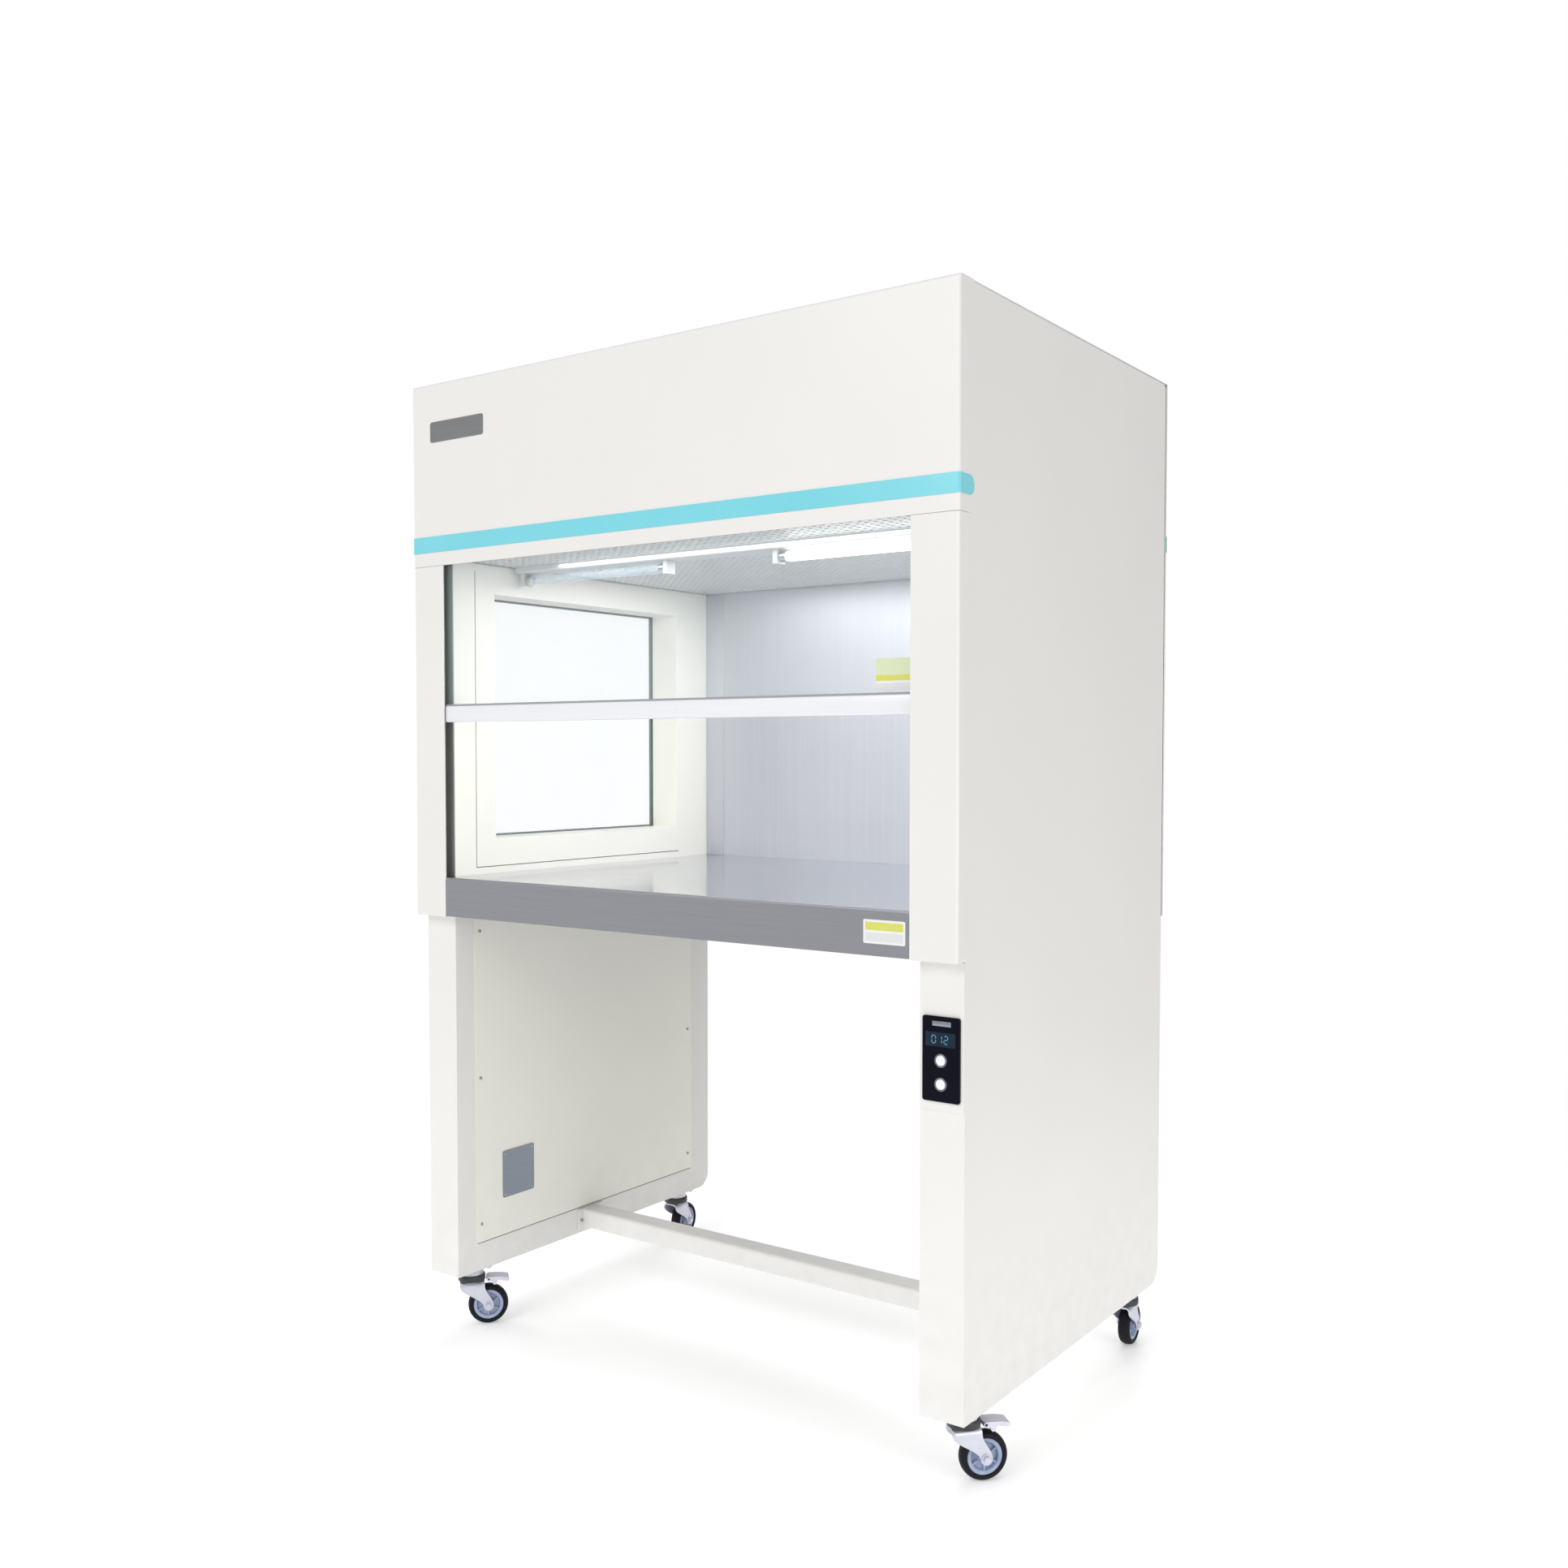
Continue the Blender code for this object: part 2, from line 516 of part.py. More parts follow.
# ---- lamps under the ceiling ----------------------------------------------------------------------
LAMP_Y = -0.175
TUBE_Z = 1.2440
tray = folded("lamp_tray", (-0.4200, LAMP_Y - 0.020, 1.2545), (0.4200, LAMP_Y + 0.020, CEILING - GAP),
              ("+z",), 0.0010, "white", (("-z", "-y"), ("-z", "+y")), 0.003, 2)
SOCKETS = (0.105, 0.414)
for side in (LEFT, RIGHT):
    for end in SOCKETS:
        add_box(tray, *sorted_box(side, end - 0.004, end + 0.004, LAMP_Y - 0.010, LAMP_Y + 0.010,
                                  TUBE_Z - 0.010, 1.2550))
for side, name in ((LEFT, "uv_tube"), (RIGHT, "lamp_tube")):
    start, end = sorted((side * (SOCKETS[0] + 0.0043), side * (SOCKETS[1] - 0.0043)))
    colour = "glass" if side == LEFT else "white"
    rod(name, (start, LAMP_Y, TUBE_Z), (end, LAMP_Y, TUBE_Z), 0.008, colour, 20)

# ---- sash: tracks, rail and pane --------------------------------------------------------------------
for side, label in ((LEFT, "left"), (RIGHT, "right")):
    low, high = sorted_box(side, CHAMBER + 0.0006, 0.4518, SLOT_FRONT, SLOT_REAR, WALL_LOW, 1.5360)
    inner = "+x" if side == LEFT else "-x"
    folded(f"{label}_sash_track", low, high, (inner, "-z", "+z"), 0.0015, "grey")

RAIL_FRONT, RAIL_REAR = -0.3400, -0.3260
PANE_FRONT = -0.3355
RAIL_TOP = RAIL_LOW + RAIL_HEIGHT
RAIL_HALF, PANE_HALF = 0.4490, 0.4470
GROOVE = 0.010          # depth of the glazing groove in the rail
sash_rail = box("sash_rail", (-RAIL_HALF, RAIL_FRONT, RAIL_LOW), (RAIL_HALF, RAIL_REAR, RAIL_TOP), "aluminium",
                0, 0.002, 2)
sash_rail.data.transform(Matrix.Translation((0, 0, -RAIL_LOW)))
sash_rail.location.z = RAIL_LOW
groove = box("rail_groove", (-RAIL_HALF - PAST, PANE_FRONT - GAP, RAIL_HEIGHT - GROOVE),
             (RAIL_HALF + PAST, PANE_FRONT + GLASS + GAP, RAIL_HEIGHT + PAST))
groove.parent = sash_rail
boolean(sash_rail, groove, "DIFFERENCE")
pane = box("sash_glass", (-PANE_HALF, PANE_FRONT, RAIL_TOP - GROOVE + GAP),
           (PANE_HALF, PANE_FRONT + GLASS, SASH_TOP), "glass", 1, 0.004, 2)
pane.data.transform(Matrix.Translation((0, 0, -RAIL_LOW)))
pane.location.z = RAIL_LOW

# ---- controls on the right leg -------------------------------------------------------------------------
control_cover = box("control_cover", (LEG_INNER + 0.001, LEG_FRONT - GAP - COVER, COVER_LOW),
                    (SHELL_X, LEG_FRONT - GAP, LIP_BOTTOM - 0.0005), "paint", 1, 0.002, 2)
cut_box(control_cover, (BAY[0][0], LEG_FRONT - PAST, BAY[1][0]), (BAY[0][1], LEG_FRONT + PAST, BAY[1][1]))
panel = box("control_panel", (0.4390, PANEL_FACE, PANEL_LOW), (0.4930, PANEL_BACK, PANEL_HIGH),
            "black", 1, 0.003, 3)
SCREEN = ((0.4430, 0.4870), (0.5840, 0.6030))   # display opening, across and up
cut_box(panel, (SCREEN[0][0], PANEL_FACE - PAST, SCREEN[1][0]),
        (SCREEN[0][1], PANEL_BACK + PAST, SCREEN[1][1]))
box("display_window", (SCREEN[0][0] + GAP, PANEL_FACE + 0.0002, SCREEN[1][0] + GAP),
    (SCREEN[0][1] - GAP, PANEL_BACK, SCREEN[1][1] - GAP), "glass", 1, 0.001, 1)
board = box("control_board", (0.4440, -0.3130, 0.5210), (0.4880, -0.3114, 0.6160), "green")
add_box(board, (0.4460, -0.3205, 0.5860), (0.4840, -0.3125, 0.6010))
add_box(board, (0.4500, -0.3118, 0.5400), (0.4700, -0.3060, 0.5750))
for name, height in KEY_HEIGHTS.items():
    cut_rod(panel, (KEY_X, PANEL_FACE - PAST, height), (KEY_X, PANEL_BACK + PAST, height),
            KEY_RADIUS + 0.0005)
    add_box(board, (KEY_X - 0.003, -0.3142, height - 0.003), (KEY_X + 0.003, -0.3125, height + 0.003))
    cap = turned(name, [(0.0, 0.0128), (0.0040, 0.0126), (0.0060, 0.0119), (KEY_RADIUS, 0.0108),
                        (KEY_RADIUS, 0.0), (0.0, 0.0)], "white", 28)
    cap.rotation_euler = (math.radians(90), 0.0, 0.0)
    cap.location = (KEY_X, -0.3162, height)

plate_back = -LEG_INNER + GAP + COVER + GAP
box("rating_plate", (plate_back, -0.223, 0.209), (plate_back + 0.0008, -0.151, 0.288), "grey", 0, 0.003, 2)


def inlet_corners(half_x, half_z, start, end):
    """Two corners of a box centred on the mains inlet, from start to end in depth."""
    return INLET + Vector((-half_x, start, -half_z)), INLET + Vector((half_x, end, half_z))


inlet_box = box("mains_inlet", *inlet_corners(*INLET_HALF, -0.022, 0.001), "black")
add_box(inlet_box, *inlet_corners(0.022, 0.024, GAP, 0.003), 1, 0.003)
cut_box(inlet_box, *inlet_corners(0.011, 0.015, -0.016, PAST), 1, 0.003)
for pin_x, pin_z in ((0.0, 0.008), (-0.006, -0.004), (0.006, -0.004)):
    pin = INLET + Vector((pin_x, 0.0, pin_z))
    add_box(inlet_box, pin - Vector((0.001, 0.018, 0.002)), pin + Vector((0.001, -0.003, 0.002)))

# ---- casters --------------------------------------------------------------------------------------------
CROWN_LOW, CROWN_HIGH = 0.0715, 0.0745
LEG_IN, LEG_OUT = 0.0130, 0.0155
PIVOT = (0.0275, 0.0765)          # brake pedal pivot, behind and above the kingpin


def caster(name, x, y, turn, brake):
    """Plate with raceway and kingpin, swivelling fork with axle, wheel, and a brake pedal."""
    mount = turned(f"{name}_mount", [(0.0, 0.0980), (0.0200, 0.0980), (0.0200, 0.0850), (0.0170, 0.0790),
                                     (0.0170, 0.0750), (0.0050, 0.0750), (0.0050, 0.0712), (0.0080, 0.0712),
                                     (0.0080, 0.0668), (0.0, 0.0668)], "zinc", 24)
    mount.location = (x, y, 0.0)
    plate = box(f"{name}_plate", (-0.027, -0.024, 0.0972), (0.027, 0.024, 0.0997), None, 2, 0.006)
    plate.parent = mount
    boolean(mount, plate, "UNION")

    swivel = bpy.data.objects.new(f"{name}_swivel", None)
    swivel.location = (x, y, 0.0)
    swivel.rotation_euler.z = turn
    bench.objects.link(swivel)
    swivel.empty_display_size = 0.02

    fork = box(f"{name}_fork", (-LEG_OUT, -0.0200, CROWN_LOW), (LEG_OUT, 0.0210, CROWN_HIGH), "zinc")
    fork.parent = swivel
    leg_points = [(-0.0190, CROWN_HIGH), (-0.0200, 0.0660)]
    leg_points += arc((CASTER_TRAIL, WHEEL_RADIUS), 0.0085, 205, 370, 6)
    leg_points += [(PIVOT[0] + 0.0045, 0.0690)] + arc(PIVOT, 0.0045, 0, 90, 3) + [(0.0210, CROWN_HIGH)]
    for side in (LEFT, RIGHT):
        leg = outline(f"{name}_leg", leg_points, LEG_OUT - LEG_IN)
        turn_mesh(leg, Matrix.Translation((side * (LEG_IN + LEG_OUT) / 2, 0, 0)) @ UPRIGHT)
        leg.parent = swivel
        boolean(fork, leg, "UNION")
    tools = [(rod_mesh((-0.0185, CASTER_TRAIL, WHEEL_RADIUS), (0.0185, CASTER_TRAIL, WHEEL_RADIUS), 0.0040),
              "UNION"),
             (rod_mesh((0, 0, 0.06), (0, 0, 0.08), 0.0054), "DIFFERENCE")]
    if brake:
        tools.append((rod_mesh((-0.0150, *PIVOT), (0.0150, *PIVOT), 0.0015, 12), "UNION"))
    for mesh, operation in tools:
        tool = place(f"{name}_tool", mesh)
        tool.parent = swivel
        boolean(fork, tool, operation)

    wheel = turned(f"{name}_wheel", [(0.0250, WHEEL_HALF), (0.0310, WHEEL_HALF - 0.0010),
                                     (WHEEL_RADIUS, WHEEL_HALF - 0.0045), (WHEEL_RADIUS, 0.0045 - WHEEL_HALF),
                                     (0.0310, 0.0010 - WHEEL_HALF), (0.0250, -WHEEL_HALF),
                                     (0.0225, 0.0030 - WHEEL_HALF), (0.0090, 0.0030 - WHEEL_HALF),
                                     (0.0080, -0.0115), (0.0043, -0.0115), (0.0043, 0.0115), (0.0080, 0.0115),
                                     (0.0090, WHEEL_HALF - 0.0030), (0.0225, WHEEL_HALF - 0.0030)],
                   "rubber", 28, True)
    wheel.parent = swivel
    wheel.rotation_euler = (0.0, math.radians(90), 0.0)
    wheel.location = (0.0, CASTER_TRAIL, WHEEL_RADIUS)

    if brake:
        shape = [(-0.0040, 0.0), (-0.0028, -0.0028), (0.0, -0.0040), (0.0050, -0.0040), (0.0080, -0.0095),
                 (0.0125, -0.0095), (0.0150, -0.0020), (0.0310, -0.0050), (0.0340, -0.0040),
                 (0.0330, 0.0010), (0.0170, 0.0035), (0.0, 0.0040), (-0.0028, 0.0028)]
        pedal = outline(f"{name}_pedal", shape, 0.0244, "zinc")
        turn_mesh(pedal, UPRIGHT)
        pedal.parent = swivel
        pedal.location = (0.0, *PIVOT)
        bore = rod(f"{name}_pedal_bore", (-0.02, 0.0, 0.0), (0.02, 0.0, 0.0), 0.0018, None, 12)
        bore.parent = pedal
        boolean(pedal, bore, "DIFFERENCE")


for name, x, y, turn, brake in (("caster_fl", -CASTER_X, CASTER_FRONT, FRONT_TURN, True),
                                ("caster_fr", CASTER_X, CASTER_FRONT, FRONT_TURN, True),
                                ("caster_rl", -CASTER_X, CASTER_REAR, REAR_TURN, False),
                                ("caster_rr", CASTER_X, CASTER_REAR, REAR_TURN, False)):
    caster(name, x, y, turn, brake)
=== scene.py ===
"""The looks of a mobile laminar-flow clean bench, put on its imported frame.

Metres, +Z up, the user stands on the -Y side. Sections follow the bench as it is put together.
"""
import json
import math

import bmesh
import bpy
from mathutils import Matrix, Vector


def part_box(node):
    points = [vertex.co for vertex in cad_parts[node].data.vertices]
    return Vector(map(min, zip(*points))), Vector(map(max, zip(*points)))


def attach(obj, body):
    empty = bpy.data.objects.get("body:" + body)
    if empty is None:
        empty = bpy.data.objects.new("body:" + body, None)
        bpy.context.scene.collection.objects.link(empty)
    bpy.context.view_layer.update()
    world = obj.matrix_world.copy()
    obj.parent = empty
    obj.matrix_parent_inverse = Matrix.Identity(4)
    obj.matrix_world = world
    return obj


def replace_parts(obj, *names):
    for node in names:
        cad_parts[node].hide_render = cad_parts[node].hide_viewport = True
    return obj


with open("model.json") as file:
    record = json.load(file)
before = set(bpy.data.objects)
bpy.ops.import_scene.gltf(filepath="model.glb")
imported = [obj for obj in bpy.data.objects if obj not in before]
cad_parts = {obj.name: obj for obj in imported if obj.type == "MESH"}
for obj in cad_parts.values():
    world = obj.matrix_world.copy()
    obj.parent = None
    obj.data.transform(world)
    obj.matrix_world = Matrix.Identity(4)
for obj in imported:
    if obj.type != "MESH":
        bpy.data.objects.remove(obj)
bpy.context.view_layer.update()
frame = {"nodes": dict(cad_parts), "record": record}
scene = bpy.context.scene


# ---- The studio --------------------------------------------------------------------------------
# A white room with large soft lights in front, at both sides, above and behind, and one under the
# chamber's ceiling that helps its lamp. The camera is at chest height by the right front corner.
def srgb(red, green, blue):
    """A colour picked on screen, 0 to 255, as linear light."""
    return tuple(c / 12.92 if c <= 0.04045 else ((c + 0.055) / 1.055) ** 2.4
                 for c in (red / 255, green / 255, blue / 255)) + (1.0,)


scene.view_settings.view_transform = "Standard"

lens = bpy.data.cameras.new("view")
lens.lens, lens.sensor_width, lens.shift_y = 34.20, 36.0, 0.0155
camera = bpy.data.objects.new("view", lens)
camera.location = (1.3915, -1.9649, 0.9563)
LOOK_ROUND, LOOK_DOWN = math.radians(35.506), math.radians(2.133)
camera.rotation_euler = (math.pi / 2 - LOOK_DOWN, 0.0, LOOK_ROUND)
scene.collection.objects.link(camera)
scene.camera = camera


class Value:
    """The output of a node, with Python's arithmetic: each expression adds a Math node."""

    def __init__(self, tree, socket):
        self.tree, self.socket = tree, socket

    def math(self, operation, *terms):
        """A Math node with those terms, each a number or another value."""
        node = self.tree.nodes.new("ShaderNodeMath")
        node.operation = operation
        for port, term in zip(node.inputs, terms):
            if isinstance(term, Value):
                self.tree.links.new(term.socket, port)
            else:
                port.default_value = term
        return Value(self.tree, node.outputs[0])

    def __add__(self, other):
        return self.math("ADD", self, other)

    def __sub__(self, other):
        return self.math("SUBTRACT", self, other)

    def __rsub__(self, other):
        return self.math("SUBTRACT", other, self)

    def __mul__(self, other):
        return self.math("MULTIPLY", self, other)

    def __truediv__(self, other):
        return self.math("DIVIDE", self, other)

    def __gt__(self, other):
        return self.math("GREATER_THAN", self, other)

    def __lt__(self, other):
        return self.math("LESS_THAN", self, other)

    __radd__, __rmul__ = __add__, __mul__

    def clamped(self):
        """Held between 0 and 1."""
        return self.math("MINIMUM", self.math("MAXIMUM", self, 0.0), 1.0)

    def size(self):
        """Without its sign."""
        return self.math("ABSOLUTE", self)

    def out(self, label):
        """Another output of the same node."""
        return Value(self.tree, self.socket.node.outputs[label])


class Graph:
    """A node tree, filled one node at a time."""

    def __init__(self, tree):
        self.tree = tree

    def add(self, kind, settings=None, sockets=None, output=0):
        """A node with its settings, then the values or links of its sockets, by name or place.

        A socket that takes several links gets a list. What comes back is one of its outputs.
        """
        node = self.tree.nodes.new(kind)
        for label, value in (settings or {}).items():
            setattr(node, label, value)
        for label, value in (sockets or {}).items():
            for term in value if isinstance(value, list) else [value]:
                if isinstance(term, Value):
                    self.tree.links.new(term.socket, node.inputs[label])
                else:
                    node.inputs[label].default_value = term
        return Value(self.tree, node.outputs[output]) if node.outputs else None


ROOM_LIGHT, ROOM_SEEN = 0.46, 1.0
room = bpy.data.worlds.new("room")
room.use_nodes = True
scene.world = room
sky = Graph(room.node_tree)
seen = sky.add("ShaderNodeLightPath", output="Is Camera Ray")
background = sky.tree.nodes["Background"]
background.inputs["Color"].default_value = (1.0, 1.0, 1.0, 1.0)
sky.tree.links.new((seen * (ROOM_SEEN - ROOM_LIGHT) + ROOM_LIGHT).socket, background.inputs["Strength"])


def soft_light(name, place, size, power, target=(0, 0, 0.8)):
    """A soft light of that width and depth that faces a target."""
    light = bpy.data.lights.new(name, "AREA")
    light.shape, light.size, light.size_y, light.energy = "RECTANGLE", size[0], size[1], power
    lamp = bpy.data.objects.new(name, light)
    lamp.location = place
    lamp.rotation_euler = (Vector(target) - Vector(place)).to_track_quat("-Z", "Y").to_euler()
    lamp.visible_camera = False
    scene.collection.objects.link(lamp)
    return lamp


soft_light("key_light", (-0.4, -3.7, 2.9), (2.4, 2.0), 56)
soft_light("front_light", (0.2, -4.2, 0.45), (2.6, 0.5), 31, (0, 0, 0.2)).visible_glossy = False
soft_light("left_light", (-3.8, -0.3, 1.4), (1.6, 1.4), 24)
soft_light("fill_light", (3.6, -0.7, 1.0), (1.8, 1.4), 38, (0.3, 0, 0.6))
soft_light("top_light", (0.4, 0.6, 3.6), (2.0, 2.0), 16)
soft_light("rear_light", (-1.2, 3.8, 2.9), (2.0, 1.6), 40)
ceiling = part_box("diffuser_plate")[0].z
soft_light("chamber_glow", (0.04, -0.02, ceiling - 0.002), (0.72, 0.46), 4.1, (0.04, -0.019, 0.0))


# ---- Painted sheet steel -----------------------------------------------------------------------
# The side towers, header covers, post covers, rear panel, roof and crossbar: folded sheet steel,
# powder coated a warm white. The coat has a fine orange peel, and the sheet is never quite flat.
class Finish(Graph):
    """A material in the piece's own coordinates, with one Principled shader."""

    def __init__(self, name, **shader):
        self.material = bpy.data.materials.new(name)
        self.material.use_nodes = True
        super().__init__(self.material.node_tree)
        self.shader = self.tree.nodes["Principled BSDF"]
        self.where = self.add("ShaderNodeTexCoord", output="Object")
        self.set(**shader)

    def set(self, **sockets):
        """Sets shader sockets; a name's _ stands for a space."""
        for label, value in sockets.items():
            port = self.shader.inputs[label.replace("_", " ")]
            if isinstance(value, Value):
                self.tree.links.new(value.socket, port)
            else:
                port.default_value = value
        return self

    def axes(self):
        """The piece's own X, Y and Z."""
        x = self.add("ShaderNodeSeparateXYZ", sockets={0: self.where})
        return x, x.out("Y"), x.out("Z")

    def noise(self, scale, detail=2.0, stretch=(1, 1, 1)):
        """Soft noise from 0 to 1; stretch multiplies the scale along each axis."""
        where = self.add("ShaderNodeMapping", sockets={"Vector": self.where, "Scale": stretch})
        return self.add("ShaderNodeTexNoise", sockets={"Vector": where, "Scale": scale, "Detail": detail})

    def mix(self, share, first, second):
        """The first colour where share is 0, the second where it is 1."""
        return self.add("ShaderNodeMix", {"data_type": "RGBA"}, {0: share, 6: first, 7: second}, 2)

    def bump(self, height, distance, strength=1.0):
        """Raises the surface by height times distance."""
        normal = self.add("ShaderNodeBump", sockets={"Height": height, "Distance": distance,
                                                     "Strength": strength})
        return self.set(Normal=normal)


def dress(finish, *nodes):
    """Gives CAD nodes a finish."""
    for name in nodes:
        mesh = frame["nodes"][name].data
        mesh.materials.clear()
        mesh.materials.append(finish.material)


def darker(colour, share):
    """A screen colour times a share, as linear light."""
    return srgb(*[channel * share for channel in colour])


def powder_coat(name, colour, roughness=0.36):
    """Satin powder coat with dust near the floor and faint wiping marks."""
    finish = Finish(name, Specular_IOR_Level=0.45, Coat_Roughness=0.3)
    height = finish.axes()[2]
    cloud = finish.noise(4.5, 4)
    wiped = finish.noise(7, 5, (1, 1, 0.22))
    speck = finish.noise(620, 2)
    peel = finish.noise(260, 2)
    sheet = finish.noise(2.1, 1)
    low = ((DUST_TOP - height) * 3.4).clamped() * (finish.noise(36, 6) * 1.6 - 0.45).clamped()
    shade = finish.mix((cloud - 0.3).clamped() * 0.9, srgb(*colour), darker(colour, 0.975))
    shade = finish.mix(low * 0.35, shade, darker(colour, 0.86))
    shade = finish.mix((speck > 0.735) * 0.05, shade, srgb(150, 146, 138))
    rough = roughness + (wiped - 0.5) * 0.16 + low * 0.2
    finish.set(Base_Color=shade, Roughness=rough.clamped(), Coat_Weight=(0.16 - low * 0.16).clamped())
    return finish.bump(peel * 0.05 + speck * 0.02 + sheet * 6.0, 0.0006, 0.55)


DUST_TOP = 0.34
dress(powder_coat("powder_coat_white", (233, 231, 228)),
      "left_side_shell", "right_side_shell", "front_header_cover", "rear_header_cover", "rear_panel",
      "left_post_cover", "right_post_cover", "top_panel", "crossbar", "control_cover", "prefilter_grille")


# ---- Cream liners ------------------------------------------------------------------------------
# The chamber's side walls and the covers inside the legs are the same sheet with a creamier,
# slightly duller coat.
dress(powder_coat("powder_coat_cream", (240, 239, 231), 0.42),
      "left_leg_cover", "right_leg_cover", "left_inner_wall", "right_inner_wall")


# ---- Stainless work surface and back wall ------------------------------------------------------
# 1.5 mm stainless sheet. The top is folded down into the front lip and polished by use; its
# brushing runs from side to side. The back wall is brushed upwards and stays duller.
def brushed(name, colour, stretch, roughness, grain_depth, bend=None):
    """Brushed bare metal whose grain runs along the axis with the small stretch; a bend in front
    of that Y and above that Z is rougher and darker, the darkening a painted shade that dims its highlight."""
    finish = Finish(name, Metallic=1.0, Anisotropic=0.35)
    grain = finish.noise(700, 3, stretch)
    long_grain = finish.noise(160, 2, stretch)
    cloud = finish.noise(5, 4)
    streak = (finish.noise(90, 1, stretch) - 0.66).clamped() * 3.0
    shade = finish.mix(grain * 0.5 + long_grain * 0.5, darker(colour, 0.93), srgb(*colour))
    rough = roughness + (grain - 0.5) * 0.10 + (cloud - 0.5) * 0.10 + streak * 0.05
    if bend:
        _, y, z = finish.axes()
        # the bend is made rougher, and its colour is darkened as a painted shade that dims the bend's
        # highlight
        shaded_matt_bend = (y < bend[0]) * (z > bend[1])
        rough = rough + shaded_matt_bend * 0.45
        shade = finish.mix(shaded_matt_bend, shade, darker(colour, 0.78))
    finish.set(Base_Color=shade, Roughness=rough.clamped())
    return finish.bump(grain * 0.6 + long_grain * 0.4, grain_depth, 0.5)


ALONG_X, ALONG_Y, ALONG_Z = (0.02, 1, 1), (1, 0.02, 1), (1, 1, 0.02)
BEND = 0.0035
top_low, top_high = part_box("worktop")
stainless_top = brushed("stainless_top", (216, 218, 225), ALONG_X, 0.13, 0.00002,
                        (top_low.y + BEND, top_high.z - BEND))
dress(stainless_top, "worktop")
stainless_back = brushed("stainless_back", (212, 214, 221), ALONG_Z, 0.5, 0.00003)
stainless_back.set(Metallic=0.7)
dress(stainless_back, "back_wall")


# ---- Zinc plated parts -------------------------------------------------------------------------
# The frame under the work surface, the foot channels, the plenum, its bracket and inlet ring, and
# the casters' pressed steel: zinc plated, cloudy, with the faint spangle of a bright dip.
def plated(name, colour, roughness=0.3):
    """Zinc plate with a cloudy spangle."""
    finish = Finish(name, Metallic=1.0)
    spangle = finish.add("ShaderNodeTexVoronoi", {"feature": "F1"},
                         {"Vector": finish.where, "Scale": 210.0}, "Color")
    flake = finish.add("ShaderNodeSeparateXYZ", sockets={0: spangle})
    cloud = finish.noise(40, 4)
    pit = finish.noise(900, 2)
    shade = finish.mix(cloud, darker(colour, 0.86), srgb(*colour))
    rough = roughness + (flake - 0.5) * 0.12 + (cloud - 0.5) * 0.14
    finish.set(Base_Color=shade, Roughness=rough.clamped())
    return finish.bump(pit, 0.00006, 0.4)


zinc = plated("zinc_plate", (206, 208, 214))
CASTERS = ("fl", "fr", "rl", "rr")
# The frame under the work surface gets a darker zinc: a painted shade under the worktop, which also dims the
# light it throws onto the legs.
dress(plated("dull_zinc_plate", (128, 128, 122), 0.55), "worktop_frame")
dress(zinc, "left_foot_channel", "right_foot_channel", "plenum_box", "motor_bracket", "inlet_ring",
      *[f"caster_{corner}_mount" for corner in CASTERS])


# ---- Glass: side window and sash ---------------------------------------------------------------
# 5 mm toughened float glass, all but clear, with a green cut edge. The window sits in a rubber
# gasket in the left liner; the sash pane is glazed into the top of its rail.
def float_glass(name, node, across):
    """Clear glass, greener along the cut edge; across gives the pane's two long axes."""
    finish = Finish(name, Roughness=0.03, Specular_IOR_Level=0.6)
    low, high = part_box(node)
    rim = 0.0
    for axis in across:
        middle, half = (low[axis] + high[axis]) / 2, (high[axis] - low[axis]) / 2
        rim = rim + ((finish.axes()[axis] - middle).size() > half - GREEN_EDGE)
    rim = rim.clamped()
    film = finish.noise(9, 4)
    clear = 0.075 + (film - 0.5) * 0.05 + rim * 0.55
    tint = finish.mix(rim, srgb(226, 240, 246), srgb(120, 176, 160))
    finish.set(Base_Color=tint, Alpha=clear.clamped(), Roughness=(0.03 + film * 0.04).clamped())
    dress(finish, node)


GREEN_EDGE = 0.0022
float_glass("window_float_glass", "window_glass", (1, 2))
float_glass("sash_float_glass", "sash_glass", (0, 2))


# ---- Gasket, corner trims and sealant ----------------------------------------------------------
# The window's gasket is extruded grey rubber. Thin stainless trims cover the back wall's corners, a
# bead of sealant fills the joints in the left liner, and a grey strip under the leg covers' lower edges is a
# painted shadow.
def place_piece(name, bm, finish, body, smooth=40):
    """Makes a piece of a bmesh: outward faces, smooth up to an angle, riding on a body."""
    bmesh.ops.remove_doubles(bm, verts=bm.verts, dist=0.000002)
    bmesh.ops.recalc_face_normals(bm, faces=bm.faces)
    mesh = bpy.data.meshes.new(name)
    bm.to_mesh(mesh)
    bm.free()
    mesh.materials.append(finish.material)
    mesh.shade_smooth()
    mesh.set_sharp_from_angle(angle=math.radians(smooth))
    piece = bpy.data.objects.new(name, mesh)
    scene.collection.objects.link(piece)
    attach(piece, body)
    return piece


def add_block(bm, low, high, radius=0.0, segments=2):
    """A box with all its edges rounded, added to a bmesh."""
    low, high = Vector(low), Vector(high)
    block = bmesh.new()
    size = Matrix.Diagonal((*(high - low), 1.0))
    bmesh.ops.create_cube(block, size=1.0, matrix=Matrix.Translation((low + high) / 2) @ size)
    if radius:
        bmesh.ops.bevel(block, geom=block.edges, offset=radius, segments=segments, profile=0.5,
                        affect="EDGES")
    part = bpy.data.meshes.new("block")
    block.to_mesh(part)
    block.free()
    bm.from_mesh(part)
    bpy.data.meshes.remove(part)


def rubber(name, shade, roughness=0.62):
    """Rubber or sealant, slightly bloomed."""
    finish = Finish(name, Specular_IOR_Level=0.22)
    bloom = finish.noise(60, 5)
    finish.set(Base_Color=finish.mix(bloom, srgb(*shade), srgb(*[c + 12 for c in shade])),
               Roughness=roughness + (bloom - 0.5) * 0.2)
    return finish.bump(finish.noise(1500, 2), 0.00008, 0.5)


dress(rubber("grey_gasket", (112, 119, 118)), "window_gasket")

